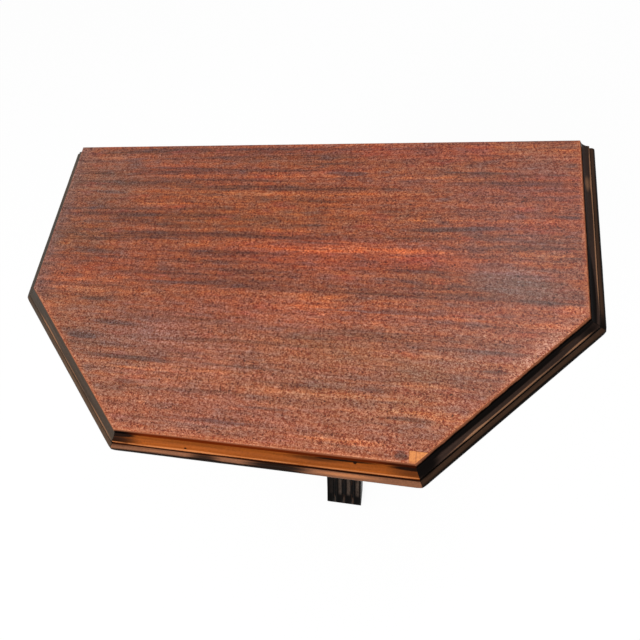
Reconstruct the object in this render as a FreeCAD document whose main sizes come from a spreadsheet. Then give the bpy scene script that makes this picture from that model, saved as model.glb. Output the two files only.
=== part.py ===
import FreeCAD, Part
import math
import os
import re
import Sketcher

# A half-octagonal accent table: a veneered top with a moulded edge on five sides,
# carried by a fluted column on three fluted sabre legs.
# Origin on the floor under the middle of the table's extent; front faces -Y, +Z is up.

# Driving dimensions, in millimetres.
SIZES = {
    # whole table
    "table_height": 730,
    "top_width": 640,
    "top_depth": 375,
    "corner_cut": 160,
    "top_thickness": 24,
    "axis_setback": 200,
    # board, veneers and the bevel round the raised field
    "veneer_thickness": 1.2,
    "edge_overhang": 2.6,
    "bevel_run": 3.4,
    "bevel_drop": 5.3,
    "lipping_thickness": 6,
    "patch_inset": 6.5,
    "patch_depth": 12.5,
    # edge moulding: cove, step, quirk and bead
    "moulding_width": 17.1,
    "cove_width": 9.2,
    "cove_drop": 4.7,
    "cove_radius": 12.3,
    "step_run": 0.5,
    "step_drop": 2.2,
    "quirk_drop": 1.5,
    "bead_radius": 5.3,
    # crossed bearers under the top and their screws
    "bearer_width": 60,
    "bearer_depth": 28,
    "bearer_end_depth": 12,
    "bearer_end_bevel": 32,
    "long_bearer": 440,
    "cross_bearer": 250,
    "near_screw": 85,
    "far_screw": 165,
    "cross_screw": 75,
    "screw_radius": 2.2,
    "screw_head_radius": 4.4,
    "screw_head_depth": 3.2,
    "screw_bite": 14,
    "screw_clearance": 0.15,
    # column: tenons, foot, tapered fluted shaft and head
    "tenon_radius": 19,
    "tenon_length": 60,
    "fit_clearance": 0.2,
    "foot_radius": 43,
    "foot_height": 4,
    "foot_cove": 8,
    "foot_cove_radius": 9,
    "shaft_foot_radius": 37,
    "shaft_head_radius": 30,
    "astragal_height": 8,
    "neck_height": 9,
    "echinus_height": 15,
    "echinus_radius": 16,
    "abacus_height": 8,
    "abacus_radius": 45,
    "column_flute_radius": 7.6,
    "column_flute_depth": 4.2,
    "column_flute_margin": 10,
    "wedge_top": 4,
    "wedge_tip": 1.5,
    "wedge_depth": 22,
    # turned rings at the foot and the head of the column
    "ring_height": 12,
    "ring_radius": 49,
    "collar_height": 10,
    "collar_radius": 51,
    "collar_ovolo": 7,
    # drum that the legs are dowelled to
    "drum_radius": 56,
    "drum_rim": 16,
    "drum_round": 6,
    # sabre legs
    "leg_reach": 234,
    "leg_width": 77,
    "leg_top": 206,
    "leg_bottom": 112,
    "knee_radius": 75,
    "sweep_radius": 440,
    "toe_radius": 7,
    "toe_face": 5,
    "sole_length": 34,
    "seat_length": 28,
    "under_knee_radius": 40,
    "under_sweep_radius": 420,
    "leg_flute_pitch": 20,
    "leg_flute_radius": 9.5,
    "leg_flute_depth": 4.2,
    "dowel_radius": 5,
    "dowel_in_leg": 26,
    "dowel_in_drum": 17,
    "dowel_edge": 26,
    # steel brace under the drum, its screws, and the glides under the toes
    "brace_thickness": 3,
    "brace_radius": 36,
    "brace_arm_width": 24,
    "brace_screw_radius": 2,
    "brace_screw_head": 4,
    "brace_screw_dome": 2.2,
    "brace_screw_bite": 16,
    "brace_leg_screw": 14,
    "brace_drum_screw": 12,
    "glide_height": 4,
    "glide_radius": 9,
    "glide_sole_radius": 5,
    "glide_rim": 1.5,
    "glide_swell": 0.3,
    "glide_setback": 18,
    "glide_nail_radius": 1.5,
    "glide_nail": 14,
    # how far cutting outlines run past the wood
    "overrun": 5,
}

# Where the legs point: one to the front and two back towards the wall.
LEG_TURNS = (-90, 30, 150)

# How far the mouldings are turned from the plain back line: left side, left cant, front, right cant, right side.
MOULDING_TURNS = (90, 135, 180, -135, -90)

# Flutes round the column, and where a leg's flutes lie across it, as shares of their pitch.
COLUMN_FLUTES = 12
LEG_FLUTE_SHARES = (-1.5, -0.5, 0.5, 1.5)

# Derived places, as formulas of the sizes above.
CANT_SHARE = "(sqrt(2) - 1)"
AXIS_Y = "(leg_reach - top_depth + axis_setback) / 2"
FRONT_Y = "(0 - axis_setback)"
BACK_Y = "(top_depth - axis_setback)"
UNDERSIDE_Z = "(table_height - top_thickness)"
HEAD_Z = "(table_height - top_thickness - bearer_depth - collar_height)"
DRUM_TOP_Z = "(leg_top + drum_rim)"
FOOT_Z = "(leg_top + drum_rim + ring_height)"
SHAFT_FOOT_Z = f"({FOOT_Z} + foot_height + foot_cove)"
SHAFT_HEAD_Z = f"({HEAD_Z} - abacus_height - echinus_height - neck_height - astragal_height)"
FLAT_X = "sqrt(drum_radius ^ 2 - leg_width ^ 2 / 4)"

doc = FreeCAD.newDocument("AccentTable")
sheet = doc.addObject("Spreadsheet::Sheet", "Sizes")
for row, (word, number) in enumerate(SIZES.items(), start=1):
    sheet.set(f"A{row}", str(number))
    sheet.setAlias(f"A{row}", word)
doc.recompute()


def bound(formula):
    """The formula with each size's name turned into its cell."""
    def cell(found):
        word = found[0]
        return f"Sizes.{word}" if word in SIZES else word

    return re.sub(r"[a-z_]+", cell, formula)


def value(formula):
    """What the formula comes to with the sheet's present sizes."""
    return float(sheet.evalExpression(bound(formula)))


def plane_of(body, role):
    return next(feature for feature in body.Origin.OriginFeatures if feature.Role == role)


def new_body(label, x="0", y="0", z="0", turn=0):
    """A body with its own label, placed by formulas and turned about the vertical."""
    body = doc.addObject("PartDesign::Body", label)
    body.Label = label
    body.Placement = FreeCAD.Placement(FreeCAD.Vector(), FreeCAD.Rotation(FreeCAD.Vector(0, 0, 1), turn))
    for axis, formula in zip("xyz", (x, y, z)):
        body.setExpression(f"Placement.Base.{axis}", bound(formula))
    return body


def new_sketch(body, name, role, lift="0"):
    """A sketch on one of the body's own planes, lifted along that plane's normal."""
    sketch = body.newObject("Sketcher::SketchObject", name)
    sketch.AttachmentSupport = [(plane_of(body, role), "")]
    sketch.MapMode = "FlatFace"
    if lift != "0":
        sketch.setExpression("AttachmentOffset.Base.z", bound(lift))
    return sketch


def pin(sketch, element, end, across, up=None):
    """Ties one point of a sketch to formulas for its coordinates."""
    for kind, formula, axis in (("DistanceX", across, -2), ("DistanceY", up, -1)):
        if formula is None:
            continue
        number = value(formula)
        if number == 0:
            sketch.addConstraint(Sketcher.Constraint("PointOnObject", element, end, axis))
        else:
            index = sketch.addConstraint(Sketcher.Constraint(kind, -1, 1, element, end, number))
            sketch.setExpression(f"Constraints[{index}]", bound(formula))


def arc_about(centre, start, end):
    """The shorter arc between two points about a centre, and whether it is drawn start first."""
    upright = FreeCAD.Vector(0, 0, 1)
    first = math.atan2(start.y - centre.y, start.x - centre.x)
    last = math.atan2(end.y - centre.y, end.x - centre.x)
    forward = (last - first) % math.tau < math.pi
    circle = Part.Circle(centre, upright, (start - centre).Length)
    if forward:
        return Part.ArcOfCircle(circle, first, last), True
    return Part.ArcOfCircle(circle, last, first), False


def arc_between(start, end, radius, side):
    """The shorter arc from start to end; side +1 bulges to the right of the way, -1 to the left."""
    chord = end - start
    rise = math.sqrt(max(radius ** 2 - chord.Length ** 2 / 4, 0))
    left = FreeCAD.Vector(-chord.y, chord.x, 0).normalize()
    return arc_about((start + end) / 2 + left * rise * side, start, end)


def draw(sketch, pieces):
    """Adds lines and arcs in order; gives the indices of each one's first and last end."""
    ends = []
    for edge, forward in pieces:
        sketch.addGeometry(edge, False)
        ends.append((1, 2) if forward else (2, 1))
    return ends


def outline(sketch, corners):
    """A closed outline. Each corner is (across, up), or (across, up, radius, side) before an arc."""
    points = [FreeCAD.Vector(value(corner[0]), value(corner[1]), 0) for corner in corners]
    pieces = []
    for index, corner in enumerate(corners):
        end = points[(index + 1) % len(corners)]
        if len(corner) == 4:
            pieces.append(arc_between(points[index], end, value(corner[2]), corner[3]))
        else:
            pieces.append((Part.LineSegment(points[index], end), True))
    ends = draw(sketch, pieces)
    for index, corner in enumerate(corners):
        follower = (index + 1) % len(corners)
        sketch.addConstraint(
            Sketcher.Constraint("Coincident", index, ends[index][1], follower, ends[follower][0])
        )
        pin(sketch, index, ends[index][0], corner[0], corner[1])
        if len(corner) == 4:
            bend = sketch.addConstraint(Sketcher.Constraint("Radius", index, value(corner[2])))
            sketch.setExpression(f"Constraints[{bend}]", bound(corner[2]))


def circles(sketch, centres, radius):
    for across, up in centres:
        middle = FreeCAD.Vector(value(across), value(up), 0)
        index = sketch.addGeometry(Part.Circle(middle, FreeCAD.Vector(0, 0, 1), value(radius)), False)
        pin(sketch, index, 3, across, up)
        bend = sketch.addConstraint(Sketcher.Constraint("Radius", index, value(radius)))
        sketch.setExpression(f"Constraints[{bend}]", bound(radius))


def pad(body, sketch, length, midplane=False):
    feature = body.newObject("PartDesign::Pad", sketch.Name + "Pad")
    feature.Profile = sketch
    feature.Midplane = midplane
    feature.setExpression("Length", bound(length))
    return feature


def pocket(body, sketch, depth=None, reverse=False):
    """Cuts the sketch out: right through both ways, or to a depth on one side."""
    feature = body.newObject("PartDesign::Pocket", sketch.Name + "Pocket")
    feature.Profile = sketch
    if depth is None:
        feature.Type = "ThroughAll"
        feature.Midplane = True
    else:
        feature.setExpression("Length", bound(depth))
        feature.Reversed = reverse
    return feature


def revolve(body, sketch, kind="PartDesign::Revolution"):
    feature = body.newObject(kind, sketch.Name + "Turned")
    feature.Profile = sketch
    feature.ReferenceAxis = (sketch, ["V_Axis"])
    feature.Angle = 360
    return feature


def polar(body, originals, count):
    """Repeats features about the body's own vertical axis."""
    feature = body.newObject("PartDesign::PolarPattern", originals[0].Name + "Round")
    feature.Originals = originals
    feature.Axis = (plane_of(body, "Z_Axis"), [""])
    feature.Angle = 360
    feature.Occurrences = count
    body.Tip = feature
    return feature


def loft(body, lower, upper):
    feature = body.newObject("PartDesign::AdditiveLoft", lower.Name + "Loft")
    feature.Profile = lower
    feature.Sections = [upper]
    feature.Ruled = True
    return feature


# The top


def top_corners(outset, back):
    """The half octagon, set out from the visible top line by a formula; back is the rear line."""
    side = f"top_width / 2 + {outset}"
    shoulder = f"{FRONT_Y} + corner_cut - ({outset}) * {CANT_SHARE}"
    front_end = f"top_width / 2 - corner_cut + ({outset}) * {CANT_SHARE}"
    front = f"{FRONT_Y} - ({outset})"
    return [
        (f"0 - ({side})", back),
        (f"0 - ({side})", shoulder),
        (f"0 - ({front_end})", front),
        (front_end, front),
        (side, shoulder),
        (side, back),
    ]


BEVEL_TOP = "(edge_overhang - bevel_run)"
BEVEL_UNDER_VENEER = "(edge_overhang - bevel_run * (1 - veneer_thickness / bevel_drop))"
SCREW_PLACES = [
    ("0 - far_screw", "0"),
    ("0 - near_screw", "0"),
    ("near_screw", "0"),
    ("far_screw", "0"),
    ("0", "0 - cross_screw"),
    ("0", "cross_screw"),
]


def top_core():
    """Core board: square below, bevelled where the raised field falls to the moulding."""
    body = new_body("top_core", y=AXIS_Y, z="table_height")
    back = f"({BACK_Y} - lipping_thickness)"
    below = new_sketch(body, "CoreOutline", "XY_Plane", "veneer_thickness - top_thickness")
    outline(below, top_corners("edge_overhang", back))
    pad(body, below, "top_thickness - veneer_thickness - bevel_drop")
    foot = new_sketch(body, "CoreBevelFoot", "XY_Plane", "0 - bevel_drop")
    outline(foot, top_corners("edge_overhang", back))
    crown = new_sketch(body, "CoreBevelCrown", "XY_Plane", "0 - veneer_thickness")
    outline(crown, top_corners(BEVEL_UNDER_VENEER, back))
    loft(body, foot, crown)
    pilots = new_sketch(body, "CorePilots", "XY_Plane", "veneer_thickness - top_thickness")
    circles(pilots, SCREW_PLACES, "screw_radius + screw_clearance")
    pocket(body, pilots, "screw_bite - veneer_thickness + screw_clearance", reverse=True)
    return body


def top_veneer():
    """Face veneer with the bevel on its edge and a corner let out for the patch."""
    body = new_body("top_veneer", y=AXIS_Y, z="table_height")
    foot = new_sketch(body, "VeneerFoot", "XY_Plane", "0 - veneer_thickness")
    outline(foot, top_corners(BEVEL_UNDER_VENEER, BACK_Y))
    crown = new_sketch(body, "VeneerCrown", "XY_Plane")
    outline(crown, top_corners(BEVEL_TOP, BACK_Y))
    loft(body, foot, crown)
    gap = new_sketch(body, "PatchGap", "XY_Plane")
    left = "top_width / 2 - corner_cut - patch_inset"
    right = "top_width / 2 - corner_cut + patch_depth + edge_overhang + overrun"
    near = f"{FRONT_Y} - edge_overhang - overrun"
    far = f"{FRONT_Y} + patch_depth"
    outline(gap, [(left, near), (right, near), (right, far), (left, far)])
    pocket(body, gap)
    return body


def patch_corners(outset):
    left = "top_width / 2 - corner_cut - patch_inset"
    near = f"{FRONT_Y} - ({outset})"
    far = f"{FRONT_Y} + patch_depth"
    return [
        (left, near),
        (f"top_width / 2 - corner_cut + ({outset}) * {CANT_SHARE}", near),
        (f"top_width / 2 - corner_cut + ({outset}) * sqrt(2) + patch_depth", far),
        (left, far),
    ]


def corner_patch():
    """Small let-in repair of lighter veneer at the front right corner."""
    body = new_body("corner_patch", y=AXIS_Y, z="table_height")
    foot = new_sketch(body, "PatchFoot", "XY_Plane", "0 - veneer_thickness")
    outline(foot, patch_corners(BEVEL_UNDER_VENEER))
    crown = new_sketch(body, "PatchCrown", "XY_Plane")
    outline(crown, patch_corners(BEVEL_TOP))
    loft(body, foot, crown)
    return body


def backing_veneer():
    """Balancing veneer over the whole underside of the board."""
    body = new_body("backing_veneer", y=AXIS_Y, z=UNDERSIDE_Z)
    sheet_outline = new_sketch(body, "BackingOutline", "XY_Plane")
    outline(sheet_outline, top_corners("edge_overhang", BACK_Y))
    pad(body, sheet_outline, "veneer_thickness")
    holes = new_sketch(body, "BackingHoles", "XY_Plane")
    circles(holes, SCREW_PLACES, "screw_radius + screw_clearance")
    pocket(body, holes)
    return body


def back_lipping():
    """Solid strip that closes the plain back edge, bevelled at its two ends like the board."""
    body = new_body("back_lipping", y=AXIS_Y, z="table_height")

    def strip(outset):
        side = f"top_width / 2 + {outset}"
        near = f"({BACK_Y} - lipping_thickness)"
        return [(f"0 - ({side})", near), (side, near), (side, BACK_Y), (f"0 - ({side})", BACK_Y)]

    below = new_sketch(body, "LippingOutline", "XY_Plane", "veneer_thickness - top_thickness")
    outline(below, strip("edge_overhang"))
    pad(body, below, "top_thickness - veneer_thickness - bevel_drop")
    foot = new_sketch(body, "LippingBevelFoot", "XY_Plane", "0 - bevel_drop")
    outline(foot, strip("edge_overhang"))
    crown = new_sketch(body, "LippingBevelCrown", "XY_Plane", "0 - veneer_thickness")
    outline(crown, strip(BEVEL_UNDER_VENEER))
    loft(body, foot, crown)
    return body


def moulding(label, length, x, y, turn, square_end=0):
    """One length of edge moulding, +Y outwards from the board; mitred unless square_end marks an end."""
    body = new_body(label, x, f"{AXIS_Y} + {y}", "table_height", turn)
    bead_y = "(moulding_width - bead_radius)"
    bead_z = "(bead_radius - top_thickness)"
    arris_z = "(0 - bevel_drop - cove_drop)"
    quirk_z = f"({arris_z} - step_drop - quirk_drop)"
    quirk_y = f"{bead_y} - sqrt(bead_radius ^ 2 - ({quirk_z} - {bead_z}) ^ 2)"
    profile = new_sketch(body, label + "Profile", "YZ_Plane")
    outline(profile, [
        ("0", "0 - bevel_drop", "cove_radius", 1),
        ("cove_width", arris_z),
        ("cove_width + step_run", f"{arris_z} - step_drop"),
        (quirk_y, quirk_z, "bead_radius", -1),
        ("moulding_width", bead_z, "bead_radius", -1),
        (bead_y, "0 - top_thickness"),
        ("0", "0 - top_thickness"),
    ])
    pad(body, profile, f"{length} + 2 * moulding_width * {CANT_SHARE}", midplane=True)
    for end in (-1, 1):
        corner = f"({length}) / 2"
        far = f"({corner} + moulding_width + overrun)"
        near_cut = corner
        far_cut = corner
        if end != square_end:
            near_cut = f"{corner} - overrun * {CANT_SHARE}"
            far_cut = f"{corner} + (moulding_width + overrun) * {CANT_SHARE}"
        saw = new_sketch(body, f"{label}Saw{end + 1}", "XY_Plane")
        outline(saw, [
            (f"{end} * ({near_cut})", "0 - overrun"),
            (f"{end} * {far}", "0 - overrun"),
            (f"{end} * {far}", "moulding_width + overrun"),
            (f"{end} * ({far_cut})", "moulding_width + overrun"),
        ])
        pocket(body, saw)
    return body


def mouldings():
    """Five mitred lengths round the sides, cants and front; the back stays plain."""
    side_x = "(top_width / 2 + edge_overhang)"
    front_x = f"(top_width / 2 - corner_cut + edge_overhang * {CANT_SHARE})"
    front_y = f"({FRONT_Y} - edge_overhang)"
    shoulder_y = f"({FRONT_Y} + corner_cut - edge_overhang * {CANT_SHARE})"
    side_length = f"({BACK_Y} - {shoulder_y})"
    cant_length = f"sqrt(2) * ({side_x} - {front_x})"
    cant_x = f"({side_x} + {front_x}) / 2"
    cant_y = f"({front_y} + {shoulder_y}) / 2"
    side_y = f"({BACK_Y} + {shoulder_y}) / 2"
    side_left, cant_left, front, cant_right, side_right = MOULDING_TURNS
    return [
        moulding("moulding_side_left", side_length, f"0 - {side_x}", side_y, side_left, square_end=1),
        moulding("moulding_cant_left", cant_length, f"0 - {cant_x}", cant_y, cant_left),
        moulding("moulding_front", f"2 * {front_x}", "0", front_y, front),
        moulding("moulding_cant_right", cant_length, cant_x, cant_y, cant_right),
        moulding("moulding_side_right", side_length, side_x, side_y, side_right, square_end=-1),
    ]


# The bearers under the top


def bearer(label, length, turn, lap_low, screws):
    """One bearer with bevelled ends, half lapped over the other and bored for the tenon."""
    body = new_body(label, y=AXIS_Y, z=UNDERSIDE_Z, turn=turn)
    half = f"({length}) / 2"
    side = new_sketch(body, label + "Side", "XZ_Plane")
    outline(side, [
        (f"0 - {half}", "0"),
        (f"0 - {half}", "0 - bearer_end_depth"),
        (f"bearer_end_bevel - {half}", "0 - bearer_depth"),
        (f"{half} - bearer_end_bevel", "0 - bearer_depth"),
        (half, "0 - bearer_end_depth"),
        (half, "0"),
    ])
    pad(body, side, "bearer_width", midplane=True)
    lap = new_sketch(body, label + "Lap", "XZ_Plane")
    end = "0 - bearer_depth - overrun" if lap_low else "overrun"
    outline(lap, [
        ("0 - bearer_width / 2", "0 - bearer_depth / 2"),
        ("bearer_width / 2", "0 - bearer_depth / 2"),
        ("bearer_width / 2", end),
        ("0 - bearer_width / 2", end),
    ])
    pocket(body, lap)
    mortise = new_sketch(body, label + "Mortise", "XY_Plane")
    circles(mortise, [("0", "0")], "tenon_radius + fit_clearance")
    pocket(body, mortise)
    holes = new_sketch(body, label + "Holes", "XY_Plane")
    circles(holes, screws, "screw_radius + screw_clearance")
    pocket(body, holes)
    recess = new_sketch(body, label + "Recess", "XY_Plane", "0 - bearer_depth")
    circles(recess, screws, "screw_head_radius + screw_clearance")
    pocket(body, recess, "screw_head_depth", reverse=True)
    return body


def bearers():
    long_screws = [(reach, "0") for reach in ("0 - far_screw", "0 - near_screw", "near_screw", "far_screw")]
    cross_screws = [(reach, "0") for reach in ("0 - cross_screw", "cross_screw")]
    return [
        bearer("bearer_long", "long_bearer", 0, True, long_screws),
        bearer("bearer_cross", "cross_bearer", 90, False, cross_screws),
    ]


def grouped(label, shapes):
    """Separate solids of one kind of fastening, kept together as one piece of the document."""
    feature = doc.addObject("Part::Feature", label)
    feature.Label = label
    feature.Shape = Part.makeCompound(shapes)
    feature.Placement = FreeCAD.Placement(FreeCAD.Vector(0, value(AXIS_Y), 0), FreeCAD.Rotation())
    return feature


def moved(shape, x, y, z, turn=0):
    copy = shape.copy()
    copy.Placement = FreeCAD.Placement(
        FreeCAD.Vector(x, y, z), FreeCAD.Rotation(FreeCAD.Vector(0, 0, 1), turn)
    )
    return copy


def bearer_screws():
    """Round-headed screws that hold the bearers to the board, heads sunk in their recesses."""
    head = Part.makeCylinder(value("screw_head_radius"), value("screw_head_depth"))
    shank = Part.makeCylinder(value("screw_radius"), value("bearer_depth + screw_bite"))
    screw = head.fuse(shank).removeSplitter()
    low = value(f"{UNDERSIDE_Z} - bearer_depth")
    return grouped("bearer_screws", [moved(screw, value(x), value(y), low) for x, y in SCREW_PLACES])


# The column


def column():
    """One turning: tenon, foot, tapered shaft, astragal, neck, echinus, abacus and top tenon."""
    body = new_body("column", y=AXIS_Y)
    half_turning = new_sketch(body, "ColumnProfile", "XZ_Plane")
    tenon_foot = f"{DRUM_TOP_Z} - tenon_length"
    neck_z = f"{SHAFT_HEAD_Z} + astragal_height"
    echinus_z = f"({neck_z} + neck_height)"
    abacus_z = f"({echinus_z} + echinus_height)"
    bead_radius = "astragal_height / 2"
    outline(half_turning, [
        ("0", tenon_foot),
        ("tenon_radius", tenon_foot),
        ("tenon_radius", FOOT_Z),
        ("foot_radius", FOOT_Z),
        ("foot_radius", f"{FOOT_Z} + foot_height", "foot_cove_radius", -1),
        ("shaft_foot_radius", SHAFT_FOOT_Z),
        ("shaft_head_radius", SHAFT_HEAD_Z, bead_radius, 1),
        (f"shaft_head_radius + {bead_radius}", f"{SHAFT_HEAD_Z} + {bead_radius}", bead_radius, 1),
        ("shaft_head_radius", neck_z),
        ("shaft_head_radius", echinus_z, "echinus_radius", 1),
        ("abacus_radius", abacus_z),
        ("abacus_radius", HEAD_Z),
        ("tenon_radius", HEAD_Z),
        ("tenon_radius", UNDERSIDE_Z),
        ("0", UNDERSIDE_Z),
    ])
    revolve(body, half_turning)
    slot = new_sketch(body, "WedgeSlot", "XZ_Plane")
    outline(slot, wedge_corners(UNDERSIDE_Z))
    pocket(body, slot)
    flute = new_sketch(body, "ColumnFlute", "XZ_Plane")
    stand_off = "column_flute_radius - column_flute_depth"
    taper = f"(shaft_foot_radius - shaft_head_radius) / ({SHAFT_HEAD_Z} - {SHAFT_FOOT_Z})"
    flute.setExpression("AttachmentOffset.Base.x", bound(f"shaft_foot_radius + {stand_off}"))
    flute.setExpression("AttachmentOffset.Base.y", bound(SHAFT_FOOT_Z))
    flute.setExpression("AttachmentOffset.Rotation.Angle", bound(f"atan({taper})"))
    bottom = "column_flute_margin"
    top = f"({SHAFT_HEAD_Z} - {SHAFT_FOOT_Z} - column_flute_margin)"
    outline(flute, [
        ("0", top, "column_flute_radius", -1),
        ("0 - column_flute_radius", f"{top} - column_flute_radius"),
        ("0 - column_flute_radius", f"{bottom} + column_flute_radius", "column_flute_radius", -1),
        ("0", bottom),
    ])
    groove = revolve(body, flute, "PartDesign::Groove")
    doc.recompute()
    polar(body, [groove], COLUMN_FLUTES)
    return body


def wedge_corners(top):
    tip = f"{top} - wedge_depth"
    return [
        ("0 - wedge_top / 2", top),
        ("0 - wedge_tip / 2", tip),
        ("wedge_tip / 2", tip),
        ("wedge_top / 2", top),
    ]


def column_wedge():
    """Wedge driven into the saw cut of the top tenon."""
    body = new_body("column_wedge", y=AXIS_Y)
    side = new_sketch(body, "WedgeSide", "XZ_Plane")
    outline(side, wedge_corners(UNDERSIDE_Z))
    pad(body, side, "2 * sqrt(tenon_radius ^ 2 - wedge_top ^ 2 / 4)", midplane=True)
    return body


def column_ring():
    """Half-round turned ring between the drum and the foot of the column."""
    body = new_body("column_ring", y=AXIS_Y)
    section = new_sketch(body, "RingSection", "XZ_Plane")
    outline(section, [
        ("tenon_radius + fit_clearance", DRUM_TOP_Z),
        ("ring_radius - ring_height / 2", DRUM_TOP_Z, "ring_height / 2", 1),
        ("ring_radius", f"{DRUM_TOP_Z} + ring_height / 2", "ring_height / 2", 1),
        ("ring_radius - ring_height / 2", FOOT_Z),
        ("tenon_radius + fit_clearance", FOOT_Z),
    ])
    revolve(body, section)
    return body


def column_collar():
    """Turned collar between the column's head and the bearers, with an ovolo under its rim."""
    body = new_body("column_collar", y=AXIS_Y)
    section = new_sketch(body, "CollarSection", "XZ_Plane")
    outline(section, [
        ("tenon_radius + fit_clearance", HEAD_Z),
        ("collar_radius - collar_ovolo", HEAD_Z, "collar_ovolo", 1),
        ("collar_radius", f"{HEAD_Z} + collar_ovolo"),
        ("collar_radius", f"{HEAD_Z} + collar_height"),
        ("tenon_radius + fit_clearance", f"{HEAD_Z} + collar_height"),
    ])
    revolve(body, section)
    return body


# The drum and the legs

DOWEL_HEIGHTS = ["leg_bottom + dowel_edge", "leg_top - dowel_edge"]
DOWEL_PLACES = [("0", height) for height in DOWEL_HEIGHTS]
BRACE_LEG_X = f"({FLAT_X} + brace_leg_screw)"
BRACE_DRUM_X = f"({FLAT_X} - brace_drum_screw)"


def drum():
    """Turned block with a flat for each leg under its round rim, bored for column and dowels."""
    body = new_body("drum", y=AXIS_Y, turn=LEG_TURNS[0])
    section = new_sketch(body, "DrumSection", "XZ_Plane")
    outline(section, [
        ("0", "leg_bottom"),
        ("drum_radius", "leg_bottom"),
        ("drum_radius", f"{DRUM_TOP_Z} - drum_round", "drum_round", 1),
        ("drum_radius - drum_round", DRUM_TOP_Z),
        ("0", DRUM_TOP_Z),
    ])
    revolve(body, section)
    bore = new_sketch(body, "DrumBore", "XY_Plane", DRUM_TOP_Z)
    circles(bore, [("0", "0")], "tenon_radius + fit_clearance")
    pocket(body, bore, "tenon_length + fit_clearance")
    flat = new_sketch(body, "DrumFlat", "XY_Plane", "leg_bottom")
    outline(flat, [
        (FLAT_X, "0 - drum_radius"),
        ("drum_radius + overrun", "0 - drum_radius"),
        ("drum_radius + overrun", "drum_radius"),
        (FLAT_X, "drum_radius"),
    ])
    flats = pocket(body, flat, "leg_top - leg_bottom", reverse=True)
    holes = new_sketch(body, "DrumDowels", "YZ_Plane", FLAT_X)
    circles(holes, DOWEL_PLACES, "dowel_radius + screw_clearance")
    dowels = pocket(body, holes, "dowel_in_drum + screw_clearance")
    pilots = new_sketch(body, "DrumPilots", "XY_Plane", "leg_bottom")
    circles(pilots, [(BRACE_DRUM_X, "0")], "brace_screw_radius + screw_clearance")
    pilot = pocket(body, pilots, "brace_screw_bite + screw_clearance", reverse=True)
    doc.recompute()
    polar(body, [flats, dowels, pilot], len(LEG_TURNS))
    return body


def circle_centre(first, first_reach, second, second_reach):
    """The outer upper point that lies at the two given distances from two points."""
    gap = second - first
    along = (first_reach ** 2 - second_reach ** 2 + gap.Length ** 2) / (2 * gap.Length)
    off = math.sqrt(first_reach ** 2 - along ** 2)
    unit = FreeCAD.Vector(gap).normalize()
    return first + unit * along + FreeCAD.Vector(-unit.y, unit.x, 0) * off


def touching(first, second, first_radius, reach):
    """The point where a circle about first, touching one about second, meets it."""
    return first + (second - first) * (first_radius / reach)


def sabre_curves():
    """Centres and meeting points of the arcs that draw the leg's top and underside."""
    flat = value(FLAT_X)
    knee = value("knee_radius")
    sweep = value("sweep_radius")
    toe = value("toe_radius")
    under_knee = value("under_knee_radius")
    under_sweep = value("under_sweep_radius")
    knee_centre = FreeCAD.Vector(flat, value("leg_top - knee_radius"), 0)
    toe_centre = FreeCAD.Vector(value("leg_reach - toe_radius"), value("glide_height + toe_face"), 0)
    sweep_centre = circle_centre(knee_centre, sweep + knee, toe_centre, sweep + toe)
    seat_end = FreeCAD.Vector(value(f"{FLAT_X} + seat_length"), value("leg_bottom"), 0)
    under_centre = FreeCAD.Vector(seat_end.x, seat_end.y - under_knee, 0)
    heel = FreeCAD.Vector(value("leg_reach - sole_length"), value("glide_height"), 0)
    under_sweep_centre = circle_centre(under_centre, under_sweep + under_knee, heel, under_sweep)
    return {
        "knee_centre": knee_centre,
        "toe_centre": toe_centre,
        "sweep_centre": sweep_centre,
        "knee_end": touching(sweep_centre, knee_centre, sweep, sweep + knee),
        "toe_start": touching(sweep_centre, toe_centre, sweep, sweep + toe),
        "seat_end": seat_end,
        "under_centre": under_centre,
        "under_sweep_centre": under_sweep_centre,
        "under_knee_end": touching(under_sweep_centre, under_centre, under_sweep, under_sweep + under_knee),
        "heel": heel,
    }


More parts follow.
